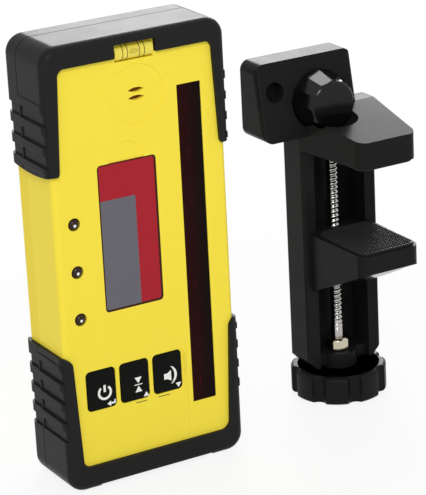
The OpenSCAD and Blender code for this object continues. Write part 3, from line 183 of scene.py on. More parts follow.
VIAL = material("vial_acrylic", (250, 232, 80), 0.1, mottle=0.04, mottle_mm=4, rough_swing=0.03,
                grain_mm=1.5, grain_um=3, grain=0.12, Transmission_Weight=0.12, IOR=1.49)
LIQUID = material("vial_liquid", (240, 220, 60), 0.08, mottle=0.04, mottle_mm=4, rough_swing=0.02,
                  grain_mm=2, grain_um=2, grain=0.1, Transmission_Weight=0.15, IOR=1.4)
VIAL_LINE = material("vial_line", (92, 80, 14), 0.4, mottle=0.04, grain_mm=0.3, grain_um=2)
BUBBLE = material("vial_bubble", (206, 190, 58), 0.1, mottle=0.06, mottle_mm=2, rough_swing=0.03,
                  grain_mm=1.5, grain_um=2, grain=0.1)
CELL = material("cell_jacket", (58, 96, 120), 0.32, mottle=0.06, mottle_mm=5, grain_mm=0.6,
                grain_um=4, grain=0.2)
GASKET = material("gasket_black", (26, 26, 26), 0.7, mottle=0.1, grain_mm=0.2, grain_um=8)

FINISH = {
    "front_shell": YELLOW, "rear_shell": YELLOW_REAR, "battery_door": YELLOW_REAR,
    "shell_gasket": GASKET, "shell_screws": STEEL,
    "front_top_bumper": BUMPER, "rear_top_bumper": BUMPER,
    "front_bottom_bumper": BUMPER, "rear_bottom_bumper": BUMPER,
    "detector_window": WINDOW, "detector_board": BOARD, "photodiodes": CHIP,
    "display_film": FILM_RED, "display_glass": GLASS, "display_frame": WHITE_PLASTIC,
    "key_power": KEY, "key_band": KEY, "key_sound": KEY, "key_switches": SWITCH,
    "led_high": LAMP, "led_level": LAMP, "led_low": LAMP,
    "vial_barrel": VIAL, "vial_liquid": LIQUID,
    "loudspeaker": SPEAKER, "loudspeaker_gasket": GASKET,
    "main_board": BOARD, "board_screws": STEEL,
    "battery_left": CELL, "battery_right": CELL, "battery_contacts": STEEL,
    "door_pin": STEEL, "door_seal": GASKET, "bracket_insert": BRASS,
    "clamp_frame": CLAMP, "fixed_jaw_pad": PAD, "moving_jaw": JAW, "moving_jaw_pad": PAD,
    "jaw_nut": BRASS, "lead_screw": SCREW, "thrust_collar": COLLAR,
    "clamp_knob": KNOB, "knob_screw": STEEL,
    "fixing_knob": KNOB_GLOSS, "fixing_screw": STEEL, "retaining_ring": STEEL,
}

# Width in mm of the small edge rounding on each moulding
EDGES = {
    "front_shell": 0.25, "rear_shell": 0.25, "battery_door": 0.3,
    "front_top_bumper": 0.45, "rear_top_bumper": 0.45,
    "front_bottom_bumper": 0.45, "rear_bottom_bumper": 0.45,
    "key_power": 0.55, "key_band": 0.55, "key_sound": 0.55,
    "clamp_frame": 0.9, "moving_jaw": 1.0, "clamp_knob": 0.6, "fixing_knob": 0.3,
    "detector_window": 0.12, "thrust_collar": 0.15, "jaw_nut": 0.25, "shell_screws": 0.12,
    "knob_screw": 0.12,
}

# Least angle in degrees of an edge that is rounded, where it isn't the usual one
EDGE_ANGLES = {"fixing_knob": 14}
USUAL_ANGLE, EDGE_STEPS = 40, 3
# Points of a CAD mesh closer than this, in metres, and faces flatter than this count as one
WELD_M, FLAT_DEG = 1e-6, 0.8
NORMAL_WEIGHT = 80


def round_edges(o, width_mm, angle_deg=USUAL_ANGLE):
    """Rounds the edges of an object that turn by more than an angle."""
    edge = o.modifiers.new("edge", "BEVEL")
    edge.width = width_mm * MM
    edge.segments = EDGE_STEPS
    edge.limit_method = "ANGLE"
    edge.angle_limit = math.radians(angle_deg)


def finish_cad(name):
    """Gives a CAD node its material, and rounds its sharp edges in a modifier stack."""
    o = NODES[name]
    o.data.materials.clear()
    o.data.materials.append(FINISH[name])
    if name not in EDGES:
        return
    weld = o.modifiers.new("weld", "WELD")
    weld.merge_threshold = WELD_M
    flat = o.modifiers.new("flat", "DECIMATE")
    flat.decimate_type = "DISSOLVE"
    flat.angle_limit = math.radians(FLAT_DEG)
    round_edges(o, EDGES[name], EDGE_ANGLES.get(name, USUAL_ANGLE))
    even = o.modifiers.new("even", "WEIGHTED_NORMAL")
    even.weight = NORMAL_WEIGHT


for cad_name in NODES:
    finish_cad(cad_name)


# Mesh helpers

MERGE_M = 1e-7


def piece(name, verts, faces, finish, body, slot, smooth_deg=35.0):
    """A new piece from points in metres in the row frame, riding on a body."""
    mesh = bpy.data.meshes.new(name)
    mesh.from_pydata([tuple(v) for v in verts], [], faces)
    mesh.validate()
    bm = bmesh.new()
    bm.from_mesh(mesh)
    bmesh.ops.remove_doubles(bm, verts=bm.verts, dist=MERGE_M)
    bmesh.ops.recalc_face_normals(bm, faces=bm.faces)
    bm.to_mesh(mesh)
    bm.free()
    mesh.polygons.foreach_set("use_smooth", [True] * len(mesh.polygons))
    mesh.set_sharp_from_angle(angle=math.radians(smooth_deg))
    mesh.materials.append(finish)
    o = bpy.data.objects.new(name, mesh)
    bpy.context.scene.collection.objects.link(o)
    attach(o, body)
    return o


def loft(rings):
    """Points and faces of a closed body through rings of points, each with as many."""
    n, last = len(rings[0]), len(rings) - 1
    verts = [point for ring in rings for point in ring]
    faces = [[i * n + j, i * n + (j + 1) % n, (i + 1) * n + (j + 1) % n, (i + 1) * n + j]
             for i in range(last) for j in range(n)]
    faces += [list(reversed(range(n))), [last * n + j for j in range(n)]]
    return verts, faces


def joined(bodies):
    """Points and faces of several bodies as one set."""
    verts, faces = [], []
    for more_verts, more_faces in bodies:
        start = len(verts)
        verts += more_verts
        faces += [[start + i for i in face] for face in more_faces]
    return verts, faces


def prisms(outlines, y_front, y_back):
    """Points and faces of flat prisms whose outlines (x, z), in mm, run between two depths."""
    return joined(loft([[Vector((x, y, z)) * MM for x, z in outline] for y in (y_front, y_back)])
                  for outline in outlines)


def ring_prism(outer, inner, y_front, y_back):
    """Points and faces of a flat frame between two outlines with as many points."""
    n = len(outer)
    verts = [Vector((x, y, z)) * MM for y in (y_front, y_back) for line in (outer, inner)
             for x, z in line]
    faces = []
    for i in range(n):
        j = (i + 1) % n
        fo, fi, bo, bi = 0, n, 2 * n, 3 * n
        faces.append([fo + i, fo + j, fi + j, fi + i])
        faces.append([bo + i, bi + i, bi + j, bo + j])
        faces.append([fo + i, bo + i, bo + j, fo + j])
        faces.append([fi + i, fi + j, bi + j, bi + i])
    return verts, faces


def moved(outline, x, z):
    return [(px + x, pz + z) for px, pz in outline]


def bar(x0, z0, x1, z1):
    """Outline of an upright rectangle between two corners."""
    return [(x0, z0), (x1, z0), (x1, z1), (x0, z1)]


def arc(cx, cz, r, a0, a1, count):
    """Points on a circle from angle a0 to a1, in degrees."""
    return [(cx + r * math.cos(math.radians(a0 + (a1 - a0) * i / count)),
             cz + r * math.sin(math.radians(a0 + (a1 - a0) * i / count)))
            for i in range(count + 1)]


def rounded(w, h, r, count=8):
    """Outline of a centred rectangle with round corners."""
    x, z = w / 2 - r, h / 2 - r
    out = []
    for cx, cz, a in ((x, z, 0), (-x, z, 90), (-x, -z, 180), (x, -z, 270)):
        out += arc(cx, cz, r, a, a + 90, count)
    return out


def box_mm(name):
    """Lower and upper corner of a CAD node, in mm."""
    low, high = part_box(name)
    return low / MM, high / MM


def mid_mm(name):
    low, high = box_mm(name)
    return (low + high) / 2


# Icons on the keys and print on the panel

PRINT_T = 0.03


def flat_print(name, outlines, y, finish, body, slot):
    """Thin print, half sunk in a face that looks to the front at depth y."""
    verts, faces = prisms(outlines, y - PRINT_T, y + PRINT_T)
    return piece(name, verts, faces, finish, body, slot)


# Outlines of the white signs, in mm from the middle of each key
ICONS = {
    "key_power": [
        arc(1.2, -1.45, 3.0, 128, 412, 28) + arc(1.2, -1.45, 2.05, 412, 128, 28),
        bar(0.72, 1.6, 1.68, -1.25),
        [(1.9, -6.35), (3.55, -5.25), (3.55, -5.98), (4.95, -5.98), (4.95, -5.1), (5.55, -5.1),
         (5.55, -6.72), (3.55, -6.72), (3.55, -7.45)],
    ],
    "key_band": [
        [(-0.15, 1.2), (1.35, -1.25), (2.85, 1.2)],
        bar(-0.35, -1.62, 3.05, -1.98),
        [(1.35, -2.35), (-0.15, -4.8), (2.85, -4.8)],
        [(4.5, -5.4), (3.25, -7.3), (5.75, -7.3)],
    ],
    "key_sound": [
        [(-1.75, -0.45), (-1.75, -2.75), (-0.35, -2.75), (1.35, -3.75), (1.35, 0.6), (-0.35, -0.45)],
        arc(-0.15, -1.45, 4.0, -62, 62, 18) + arc(-2.1, -1.45, 4.85, 47, -47, 18),
        [(4.35, -7.2), (3.15, -5.2), (5.55, -5.2)],
    ],
}
KEY_BODY = {"key_power": "power_key", "key_band": "band_key", "key_sound": "sound_key"}

for key_name, outlines in ICONS.items():
    centre, key_y = mid_mm(key_name), box_mm(key_name)[0].y
    flat_print("icon_" + key_name[4:], [moved(o, centre.x, centre.z) for o in outlines], key_y,
               PRINT_WHITE_AND_HIGHLIGHT, KEY_BODY[key_name], "white_plastic")

# Ends of the two short lines under the keys, and their lower and upper edge, from the band key
KEY_LINES, KEY_LINE_LOW, KEY_LINE_HIGH = ((0.1, 5.0), (9.9, 14.9)), -9.45, -9.15
band_key = mid_mm("key_band")
film_low, film_high = box_mm("display_film")
FACE_Y = film_low.y
bars = [moved(bar(x0, KEY_LINE_LOW, x1, KEY_LINE_HIGH), band_key.x, band_key.z)
        for x0, x1 in KEY_LINES]
flat_print("key_line", bars, FACE_Y, PRINT_BLACK, "housing", "key")


# Display film

# The dark rim around the film is a painted shadow of its recess, shifted so it is wider at the right and
# bottom where that shade falls.
film = (film_low + film_high) / 2
FILM_W, FILM_H = film_high.x - film_low.x, film_high.z - film_low.z
FILM_R, FILM_SHADOW_RIM, FILM_INNER_R, FILM_SHADOW_SHIFT = 1.5, 1.3, 0.9, 0.2
outer = moved(rounded(FILM_W, FILM_H, FILM_R), film.x, film.z)
inner = moved(rounded(FILM_W - FILM_SHADOW_RIM, FILM_H - FILM_SHADOW_RIM, FILM_INNER_R),
              film.x - FILM_SHADOW_SHIFT, film.z + FILM_SHADOW_SHIFT)
verts, faces = ring_prism(outer, inner, FACE_Y - PRINT_T, FACE_Y + PRINT_T)
piece("film_recess_shadow", verts, faces, FILM_RECESS_SHADOW, "housing", "film")

# Far sides of the grey field from the film's lower left corner, and the painted recess shadow left
# beside it
GREY_RIGHT, GREY_TOP, GREY_R, SHADOW_LEFT, SHADOW_FOOT = 15.2, 43.6, 0.5, 0.42, 0.82
grey = moved(rounded(GREY_RIGHT - SHADOW_LEFT, GREY_TOP - SHADOW_FOOT, GREY_R),
             film_low.x + (GREY_RIGHT + SHADOW_LEFT) / 2, film_low.z + (GREY_TOP + SHADOW_FOOT) / 2)
flat_print("film_panel", [grey], FACE_Y, FILM_GREY, "housing", "film")


# Filled joint of the shells on the sides, and of the bumpers around both ends

shell_low, shell_high = box_mm("rear_shell")
seal_low, seal_high = box_mm("shell_gasket")
case_low, case_high = box_mm("rear_top_bumper")
case_x = (case_low.x + case_high.x) / 2
foot_z = box_mm("rear_bottom_bumper")[0].z
seam_y = box_mm("front_shell")[1].y, case_low.y
seam_z = box_mm("front_bottom_bumper")[1].z, case_low.z
SEAM_IN = 0.02
for side, x0, x1 in (("left", shell_low.x + SEAM_IN, seal_low.x),
                     ("right", seal_high.x, shell_high.x - SEAM_IN)):
    verts, faces = prisms([bar(x0, seam_z[0], x1, seam_z[1])], *seam_y)
    piece("side_seam_" + side, verts, faces, YELLOW, "housing", "shell")

CASE_R, LEAST_R, CASE_STEPS = 7.0, 0.5, 10
BAND_IN, BAND_T, BAND_LAP, FOOT_H = 0.3, 2.4, 0.2, 1.4


def end_band(z_end, z_out, up, inset):
    """Points from one side of the receiver over its end to the other, inset from the surface."""
    x0, x1, z, r = case_low.x + inset, case_high.x - inset, z_out - up * inset, CASE_R - inset
    r = max(LEAST_R, r)
    left = arc(x0 + r, z - up * r, r, 180, 180 - up * 90, CASE_STEPS)
    right = arc(x1 - r, z - up * r, r, up * 90, 0, CASE_STEPS)
    return [(x0, z_end)] + left + right + [(x1, z_end)]


for end, z_end, z_out, up in (("top", seam_z[1] + BAND_LAP, case_high.z, 1),
                              ("bottom", seam_z[0] - BAND_LAP, foot_z + FOOT_H, -1)):
    outer = end_band(z_end, z_out, up, BAND_IN)
    inner = end_band(z_end, z_out, up, BAND_IN + BAND_T)
    links = zip(outer, outer[1:], inner, inner[1:])
    verts, faces = prisms([[a, b, d, c] for a, b, c, d in links], *seam_y)
    piece("bumper_seam_" + end, verts, faces, GASKET, "housing", "gasket")


# Fillets in the corners of the yellow panel

FRAME_Y = box_mm("front_bottom_bumper")[0].y
PANEL_Y = box_mm("front_shell")[0].y
PANEL_FOOT, PANEL_HEAD, PANEL_HALF, PANEL_LEAN = 9.7, 166.2, 32.05, math.radians(2.6)
FOOT_FILLET_R, HEAD_FILLET_R, FILLET_STEPS = 3.7, 3.2, 12
FILLET_IN, FILLET_EDGE, FILLET_SHY, FILLET_SINK = 0.5, 0.45, 0.01, 0.3
for end, z_end, up, r in (("foot", PANEL_FOOT, 1, FOOT_FILLET_R),
                          ("head", PANEL_HEAD, -1, HEAD_FILLET_R)):
    cx = PANEL_HALF + r * (math.tan(PANEL_LEAN) - 1 / math.cos(PANEL_LEAN))
    curve = arc(cx, r, r, -90, -math.degrees(PANEL_LEAN), FILLET_STEPS)
    tip_x, tip_z = curve[-1]
    fillet = curve + [(tip_x + FILLET_IN, tip_z), (tip_x + FILLET_IN, -FILLET_IN), (cx, -FILLET_IN)]
    for side, mirror in (("left", -1), ("right", 1)):
        outline = [(case_x + mirror * x, foot_z + z_end + up * z) for x, z in fillet]
        verts, faces = prisms([outline], FRAME_Y + FILLET_SHY, PANEL_Y + FILLET_SINK)
        corner = piece("panel_fillet_%s_%s" % (end, side), verts, faces, BUMPER, "housing", "bumper")
        round_edges(corner, FILLET_EDGE)


# Soft crease beside the keys

CREASE_X, CREASE_FROM, CREASE_TO, CREASE_FADE = case_x + 14.57, 10.2, 47.9, 1.0
# Height in mm of the crease's shoulders across it, at places in mm from its middle
CREASE = ((-1.1, -0.03), (-0.95, 0.2), (-0.75, 0.3), (-0.55, 0.31), (-0.3, 0.27), (0.5, 0.03),
          (0.7, 0.012), (1.0, 0.03), (1.5, 0.06), (2.0, 0.03), (2.4, -0.03))
# The shoulders grow from the first share of these heights by the second on the way up
CREASE_LOW_SHARE, CREASE_GAIN_SHARE, CREASE_BEND = 0.3, 2.6, 1.6
CREASE_STEPS, CREASE_DIP, CREASE_SINK = 30, 0.01, 0.15
rings = []
for i in range(CREASE_STEPS + 1):
    share = i / CREASE_STEPS
    z = CREASE_FROM + (CREASE_TO - CREASE_FROM) * share
    fade = min(1.0, (z - CREASE_FROM) / CREASE_FADE, (CREASE_TO - z) / CREASE_FADE)
    grow = (CREASE_LOW_SHARE + CREASE_GAIN_SHARE * share ** CREASE_BEND) * fade
    row = [(x, PANEL_Y - h * grow + CREASE_DIP * (1 - fade)) for x, h in CREASE]
    row += [(CREASE[end][0], PANEL_Y + CREASE_SINK) for end in (-1, 0)]
    rings.append([Vector((CREASE_X + x, y, foot_z + z)) * MM for x, y in row])
piece("panel_crease", *loft(rings), YELLOW, "housing", "shell")


# Raised faces of the grip ribs on both sides

EDGE_R, RIB_H, RIB_IN, RIB_EDGE, RIB_GAP = 3.7, 0.42, 0.4, 0.3, 0.2
RIB_FROM_DEG, RIB_STEPS = 51.0, 8
# Middle and height in mm of each rib
RIBS = ((27.5, 3.2), (35.5, 3.2), (43.5, 3.2), (51.2, 2.4), (128.4, 2.4), (135.9, 3.2), (143.9, 3.2),
        (151.9, 3.2))


def side_line(rise):
    """Points (x, y) along the rounded side from its front edge to the joint of the bumpers."""
    half, r = (case_high.x - case_low.x) / 2, EDGE_R + rise
    turns = [math.radians(RIB_FROM_DEG + (90 - RIB_FROM_DEG) * i / RIB_STEPS)
             for i in range(RIB_STEPS + 1)]
    return ([(half - EDGE_R + r * math.sin(a), FRAME_Y + EDGE_R - r * math.cos(a)) for a in turns]
            + [(half + rise, seam_y[0] - RIB_GAP)])


def grip_rib(mirror, z, height):
    section = side_line(RIB_H) + side_line(-RIB_IN)[::-1]
    return loft([[Vector((case_x + mirror * x, y, foot_z + z_at)) * MM for x, y in section]
                 for z_at in (z - height / 2, z + height / 2)])


verts, faces = joined(grip_rib(mirror, z, height) for mirror in (-1, 1) for z, height in RIBS)
round_edges(piece("grip_ribs", verts, faces, BUMPER, "housing", "bumper"), RIB_EDGE)


# Detector window

win_low, win_high = box_mm("detector_window")
WIN_H = win_high.z - win_low.z
GLINT_X, GLINT_W = win_low.x + 3.5, 0.35
# Places along the window, as shares of its height, and length in mm of each faint red line
GLINTS = ((0.05, 3.4), (0.12, 1.6), (0.17, 2.2), (0.27, 1.2), (0.36, 2.6), (0.55, 1.1), (0.63, 1.8),
          (0.78, 2.4), (0.84, 1.2), (0.92, 3.0))
lines = [moved(bar(0, 0, GLINT_W, length), GLINT_X, win_low.z + share * WIN_H)
         for share, length in GLINTS]
flat_print("window_glints", lines, win_low.y, WINDOW_GLINT, "housing", "window")


# Vial

def band_x(x0, x1, r_in, r_out, y, z, count=40):
    """Points and faces of a ring around an axis along x."""
    verts, faces = [], []
    for i in range(count):
        a = 2 * math.pi * i / count
        for x, r in ((x0, r_in), (x0, r_out), (x1, r_out), (x1, r_in)):
            verts.append(Vector((x, y + r * math.cos(a), z + r * math.sin(a))) * MM)
    for i in range(count):
        j = (i + 1) % count
        for k in range(4):
            m = (k + 1) % 4
            faces.append([4 * i + k, 4 * j + k, 4 * j + m, 4 * i + m])
    return verts, faces


vial = mid_mm("vial_barrel")
vial_low, vial_high = box_mm("vial_barrel")
VIAL_R = (vial_high.z - vial_low.z) / 2
# Places of the lines along the vial, in mm from its middle
VIAL_LINES = (-4.7, -2.75, 2.3, 4.3)
LINE_W, LINE_DEEP, LINE_PROUD = 0.32, 0.3, 0.02
for n, x in enumerate(VIAL_LINES):
    verts, faces = band_x(vial.x + x - LINE_W / 2, vial.x + x + LINE_W / 2, VIAL_R - LINE_DEEP,
                          VIAL_R + LINE_PROUD, vial.y, vial.z)
    piece("vial_line_%d" % (n + 1), verts, faces, VIAL_LINE, "housing", "vial")

BUBBLE_HALF_W, BUBBLE_HALF_H, BUBBLE_SHIFT, BUBBLE_DEEP, BUBBLE_STEPS = 2.1, 0.95, 0.2, 0.3, 28
turns = [2 * math.pi * i / BUBBLE_STEPS for i in range(BUBBLE_STEPS)]
oval = [(BUBBLE_HALF_W * math.cos(a), BUBBLE_HALF_H * math.sin(a)) for a in turns]
verts, faces = prisms([moved(oval, vial.x - BUBBLE_SHIFT, vial.z + BUBBLE_SHIFT)],
                      vial_low.y - PRINT_T, vial_low.y + BUBBLE_DEEP)
piece("vial_bubble", verts, faces, BUBBLE, "housing", "liquid")


# Lamps

# A white dot on the front of each lamp's lens is a painted highlight
LAMP_HIGHLIGHT_R, LAMP_HIGHLIGHT_LEFT, LAMP_HIGHLIGHT_DROP, LAMP_HIGHLIGHT_DEEP, LAMP_HIGHLIGHT_SIDES = 0.55, 0.15, 0.2, 0.2, 24
for n, lamp_name in enumerate(("led_high", "led_level", "led_low")):
    lamp_mid, lamp_y = mid_mm(lamp_name), box_mm(lamp_name)[0].y
    disc = arc(lamp_mid.x - LAMP_HIGHLIGHT_LEFT, lamp_mid.z - LAMP_HIGHLIGHT_DROP, LAMP_HIGHLIGHT_R, 0, 360, LAMP_HIGHLIGHT_SIDES)[:-1]
    verts, faces = prisms([disc], lamp_y - PRINT_T, lamp_y + LAMP_HIGHLIGHT_DEEP)
    piece("lamp_die_%d" % (n + 1), verts, faces, PRINT_WHITE_AND_HIGHLIGHT, "housing", "white_plastic")


# Threads

THREAD_POWER, THREAD_SMOOTH = 0.7, 50


def thread_share(phase):
    """Height of the thread's rounded profile, 0 at the root and 1 at the crest."""
    return (0.5 + 0.5 * math.cos(2 * math.pi * phase)) ** THREAD_POWER


def turned_rod(sections, thread, place, sides=40, steps=12):
    """A closed rod along z. sections are (z, r) in mm; thread is (z0, z1, r, depth, pitch)."""
    z0, z1, radius, depth, pitch = thread
    rows = [(z, r, 0.0) for z, r in sections if not z0 < z < z1]
    count = int(round((z1 - z0) / pitch * steps))
    for i in range(count + 1):
        z = z0 + (z1 - z0) * i / count
        fade = min(1.0, (z - z0) / pitch, (z1 - z) / pitch)
        rows.append((z, radius, depth * max(0.0, fade)))
    rows.sort(key=lambda row: row[0])
    rings = []
    for z, r, cut in rows:
        ring = []
        for j in range(sides):
            turn = j / sides
            at = r - cut * (1 - thread_share((z / pitch - turn) % 1.0))
            a = 2 * math.pi * turn
            ring.append(place @ (Vector((at * math.cos(a), at * math.sin(a), z)) * MM))
        rings.append(ring)
    return loft(rings)


lead_low, lead_high = box_mm("lead_screw")
lead_mid = (lead_low + lead_high) / 2
collar_low, collar_high = box_mm("thrust_collar")
LEAD_R = (lead_high.x - lead_low.x) / 2
JOURNAL_R, JOURNAL_CHAMFER, STEP, COLLAR_CLEAR = 2.5, 0.3, 0.02, 0.1
NECK_L, NECK_RAMP, NECK_CUT, TIP_L, TIP_CUT = 5.6, 0.5, 0.5, 0.4, 0.4
LEAD_PITCH, LEAD_DEEP, LEAD_START, LEAD_END = 2.0, 0.55, 0.2, 0.6
neck_z = collar_high.z + NECK_L
core_z, core_r = neck_z + NECK_RAMP, LEAD_R - NECK_CUT
lead_sections = [
    (lead_low.z, JOURNAL_R - JOURNAL_CHAMFER), (lead_low.z + JOURNAL_CHAMFER, JOURNAL_R),
    (collar_low.z, JOURNAL_R), (collar_low.z + STEP, LEAD_R), (collar_high.z + COLLAR_CLEAR, LEAD_R),
    (neck_z, LEAD_R), (core_z, core_r), (lead_high.z - TIP_L, core_r),
    (lead_high.z, core_r - TIP_CUT),
]
lead_thread = core_z + LEAD_START, lead_high.z - LEAD_END, LEAD_R, LEAD_DEEP, LEAD_PITCH
at_lead = Matrix.Translation(Vector((lead_mid.x, lead_mid.y, 0)) * MM)
verts, faces = turned_rod(lead_sections, lead_thread, at_lead)
lead = piece("lead_screw_thread", verts, faces, SCREW, "screw", "steel", THREAD_SMOOTH)
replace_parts(lead, "lead_screw")

fix_low, fix_high = box_mm("fixing_screw")
fix_mid = (fix_low + fix_high) / 2
ring_low, ring_high = box_mm("retaining_ring")
FIX_R, FIX_L = (fix_high.x - fix_low.x) / 2, fix_high.y - fix_low.y
GROOVE_OUT, GROOVE_IN, GROOVE_CUT = 0.05, 0.04, 0.4
FIX_TIP_L, FIX_TIP_EASE, FIX_TIP_CUT = 0.5, 0.05, 0.6
FIX_PITCH, FIX_DEEP, FIX_GAP = 1.0, 0.5, 0.6
ring_at, ring_end = ring_low.y - fix_low.y, ring_high.y - fix_low.y
fix_sections = [
    (0, FIX_R), (ring_at - GROOVE_OUT, FIX_R), (ring_at - GROOVE_IN, FIX_R - GROOVE_CUT),
    (ring_end + GROOVE_IN, FIX_R - GROOVE_CUT), (ring_end + GROOVE_OUT, FIX_R),
    (FIX_L - FIX_TIP_L, FIX_R - FIX_TIP_EASE), (FIX_L, FIX_R - FIX_TIP_CUT),
]
fix_thread = ring_end + FIX_GAP, FIX_L - FIX_GAP, FIX_R, FIX_DEEP, FIX_PITCH
at_fix = (Matrix.Translation(Vector((fix_mid.x, fix_low.y, fix_mid.z)) * MM)
          @ Matrix.Rotation(-math.pi / 2, 4, "X"))
verts, faces = turned_rod(fix_sections, fix_thread, at_fix)
fix_screw = piece("fixing_screw_thread", verts, faces, STEEL, "fixing", "steel", THREAD_SMOOTH)
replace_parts(fix_screw, "fixing_screw")


# Knurled jaw pads

PAD_CORNER, PAD_LIP, PAD_SMOOTH = 3.2, 0.25, 20
KNURL_H, KNURL_PITCH, KNURL_SINK, KNURL_MARGIN, KNURL_CLEAR = 0.4, 1.3, 0.05, 0.7, 0.35
# Half width of a small pyramid at its foot and top, as shares of half the pitch
KNURL_FOOT_SHARE, KNURL_TOP_SHARE = 0.96, 0.3


def square(cx, cy, z, half):
    return [Vector((cx + sx * half, cy + sy * half, z)) * MM
            for sx, sy in ((-1, -1), (1, -1), (1, 1), (-1, 1))]


def knurled_pad(name, cad, body, up):
    """A pad with rounded corners and rows of small pyramids on its working face.

    up is 1 where that face looks up, and -1 where it looks down.
    """
    low, high = box_mm(cad)
    mid, w, l = (low + high) / 2, high.x - low.x, high.y - low.y
    foot, crown = (low.z, high.z) if up > 0 else (high.z, low.z)
    base = crown - up * KNURL_H
    outline = rounded(w, l, PAD_CORNER)
    inset = rounded(w - 2 * PAD_LIP, l - 2 * PAD_LIP, PAD_CORNER - PAD_LIP)
    levels = (outline, foot), (outline, base - up * PAD_LIP), (inset, base)
    bodies = [loft([[Vector((mid.x + x, mid.y + y, z)) * MM for x, y in line] for line, z in levels])]
    half_w, half_l = w / 2 - KNURL_MARGIN, l / 2 - KNURL_MARGIN
    cols, rows = int(2 * half_w / KNURL_PITCH), int(2 * half_l / KNURL_PITCH)
    for i in range(cols):
        for j in range(rows):
            x = (i - (cols - 1) / 2) * KNURL_PITCH
            y = (j - (rows - 1) / 2) * KNURL_PITCH
            dx, dy = abs(x) - (half_w - PAD_CORNER), abs(y) - (half_l - PAD_CORNER)
            if dx > 0 and dy > 0 and math.hypot(dx, dy) > PAD_CORNER - KNURL_CLEAR:
                continue
            bodies.append(loft([
                square(mid.x + x, mid.y + y, base - up * KNURL_SINK, KNURL_PITCH / 2 * KNURL_FOOT_SHARE),
                square(mid.x + x, mid.y + y, crown, KNURL_PITCH / 2 * KNURL_TOP_SHARE),
            ]))
    verts, faces = joined(bodies)
    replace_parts(piece(name, verts, faces, PAD, body, "pad", PAD_SMOOTH), cad)


knurled_pad("moving_pad_knurled", "moving_jaw_pad", "jaw", 1)
knurled_pad("fixed_pad_knurled", "fixed_jaw_pad", "housing", -1)


# Rounded, polished underside of the moving jaw's arm

jaw_low, jaw_high = box_mm("moving_jaw")
jaw_x = (jaw_low.x + jaw_high.x) / 2
# Ends (y, z) of the rounded stretch on the flat underside, near its root and its tip
SOLE_ROOT = Vector((jaw_low.y + 34.8, jaw_low.z + 0.46))
SOLE_TIP = Vector((jaw_low.y + 1.3, jaw_low.z + 15.81))
SOLE_HALF, SOLE_BULGE, SOLE_DIP, SOLE_SINK = 12.3, 1.1, 0.05, 0.3
SOLE_ROWS, SOLE_COLS = 24, 16
slope = SOLE_TIP - SOLE_ROOT
outward = Vector((-slope.y, slope.x)).normalized()


def sole_point(along, across, off):
    """A point at shares along and across the underside, off it by some mm."""
    y, z = SOLE_ROOT + along * slope + off * outward
    return Vector((jaw_x + across * SOLE_HALF, y, z)) * MM


rings = []
for i in range(SOLE_ROWS + 1):
    along = i / SOLE_ROWS
    crown = SOLE_BULGE * 4 * along * (1 - along)
    places = [2 * j / SOLE_COLS - 1 for j in range(SOLE_COLS + 1)]
    rings.append([sole_point(along, x, crown * (1 - x ** 4) - SOLE_DIP) for x in places]
                 + [sole_point(along, x, -SOLE_SINK) for x in reversed(places)])
piece("jaw_sole", *loft(rings), JAW_GLOSS, "jaw", "clamp_plastic")


# Camera, fitted to the edges of the receiver in the photograph

FRAME_H_PX = 495
FOCAL_PX = 2504.84
AZIMUTH, ELEVATION, ROLL = -0.512913, 0.340129, -0.051203
SHIFT_MM = Vector((-32.5536, 0.4752, 950.6187))
PIVOT_MM = Vector((-41.175, -1.7, 87.9))
SENSOR_MM = 36.0
CLIP_NEAR, CLIP_FAR = 0.01, 50

back = Vector((math.sin(AZIMUTH) * math.cos(ELEVATION), -math.cos(AZIMUTH) * math.cos(ELEVATION),
               math.sin(ELEVATION)))
level = Vector((math.cos(AZIMUTH), math.sin(AZIMUTH), 0))
rise = back.cross(level)
right = math.cos(ROLL) * level + math.sin(ROLL) * rise
up = -math.sin(ROLL) * level + math.cos(ROLL) * rise
where = (PIVOT_MM - SHIFT_MM.x * right - SHIFT_MM.y * up + SHIFT_MM.z * back) * MM
camera = bpy.data.cameras.new("camera")
camera.sensor_fit = "VERTICAL"
camera.sensor_height = SENSOR_MM
camera.lens = FOCAL_PX * SENSOR_MM / FRAME_H_PX
camera.clip_start, camera.clip_end = CLIP_NEAR, CLIP_FAR
eye = bpy.data.objects.new("camera", camera)
eye.matrix_world = Matrix((
    (right.x, up.x, back.x, where.x),
    (right.y, up.y, back.y, where.y),
    (right.z, up.z, back.z, where.z),
    (0, 0, 0, 1),
))
bpy.context.scene.collection.objects.link(eye)
bpy.context.scene.camera = eye


# Floor and light

WHITE, FLOOR_GREY = (1, 1, 1, 1), (0.86, 0.86, 0.86, 1)
FLOOR_WHITE_SHARE, FLOOR_HALF, FLOOR_DROP = 0.86, 6.0, 0.0002
AMBIENT = 0.55


def seen_directly(tree):
    """1 for camera, mirror and glass rays, and 0 for rays that only carry light."""
    path = tree.nodes.new("ShaderNodeLightPath")
    total = path.outputs["Is Camera Ray"]
    for name in ("Is Glossy Ray", "Is Transmission Ray"):
        most = tree.nodes.new("ShaderNodeMath")
        most.operation = "MAXIMUM"
        tree.links.new(total, most.inputs[0])
        tree.links.new(path.outputs[name], most.inputs[1])
        total = most.outputs[0]
    return total


def mixed(tree, first, second):
    """A mix of two shaders whose share is still to be set."""
    made = tree.nodes.new("ShaderNodeMixShader")
    tree.links.new(first.outputs[0], made.inputs[1])
    tree.links.new(second.outputs[0], made.inputs[2])
    return made


def show_directly(tree, out, hidden, shown):
    """Sends one shader to the rays that only carry light, and another to all that see the stage."""
    both = mixed(tree, hidden, shown)
    tree.links.new(seen_directly(tree), both.inputs["Fac"])
    tree.links.new(both.outputs[0], out.inputs["Surface"])


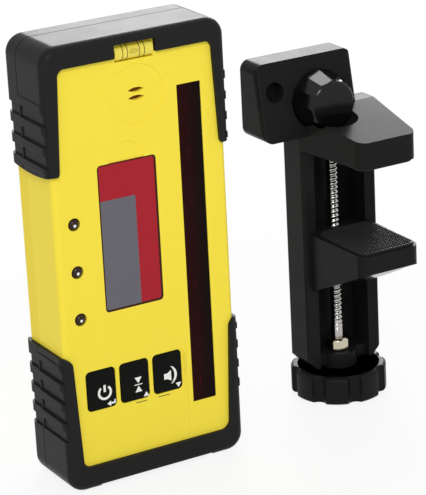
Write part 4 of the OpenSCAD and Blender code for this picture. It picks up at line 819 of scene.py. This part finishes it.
floor_finish = bpy.data.materials.new("floor_white")
floor_finish.use_nodes = True
tree = floor_finish.node_tree
tree.nodes.clear()
matte = node(tree, "ShaderNodeBsdfDiffuse", Color=FLOOR_GREY)
glow = node(tree, "ShaderNodeEmission", Color=WHITE, Strength=1.0)
pale = mixed(tree, matte, glow)
pale.inputs["Fac"].default_value = FLOOR_WHITE_SHARE
show_directly(tree, tree.nodes.new("ShaderNodeOutputMaterial"), matte, pale)

floor_mesh = bpy.data.meshes.new("floor")
floor_corners = bar(-FLOOR_HALF, -FLOOR_HALF, FLOOR_HALF, FLOOR_HALF)
floor_mesh.from_pydata([(x, y, 0) for x, y in floor_corners], [], [[0, 1, 2, 3]])
floor_mesh.materials.append(floor_finish)
floor = bpy.data.objects.new("floor", floor_mesh)
floor.location.z = -FLOOR_DROP
bpy.context.scene.collection.objects.link(floor)

world = bpy.data.worlds.new("studio")
bpy.context.scene.world = world
world.use_nodes = True
tree = world.node_tree
tree.nodes.clear()
ambient = node(tree, "ShaderNodeBackground", Color=WHITE, Strength=AMBIENT)
backdrop = node(tree, "ShaderNodeBackground", Color=WHITE, Strength=1.0)
show_directly(tree, tree.nodes.new("ShaderNodeOutputWorld"), ambient, backdrop)


def softbox(name, place, aim, size, watts):
    """A rectangular lamp at a place, in metres, that faces an aim."""
    light = bpy.data.lights.new(name, "AREA")
    light.shape = "RECTANGLE"
    light.size, light.size_y = size
    light.energy = watts
    o = bpy.data.objects.new(name, light)
    o.location = place
    o.rotation_euler = (Vector(aim) - Vector(place)).to_track_quat("-Z", "Y").to_euler()
    o.visible_camera = False
    bpy.context.scene.collection.objects.link(o)


softbox("light_front", place=(-0.6, -1.1, 1.15), aim=(0, 0, 0.08), size=(0.45, 0.45), watts=8.8)
softbox("light_low", place=(-0.58, -1.12, 0.22), aim=(0.03, 0, 0.09), size=(0.12, 0.2), watts=0.9)
softbox("light_back", place=(0.77, 1.05, 0.62), aim=(0, 0, 0.1), size=(0.7, 0.45), watts=8)
softbox("light_top", place=(0.32, 0.7, 1.33), aim=(0, 0, 0.1), size=(0.45, 0.45), watts=4.5)

bpy.context.scene.view_settings.view_transform = "Standard"
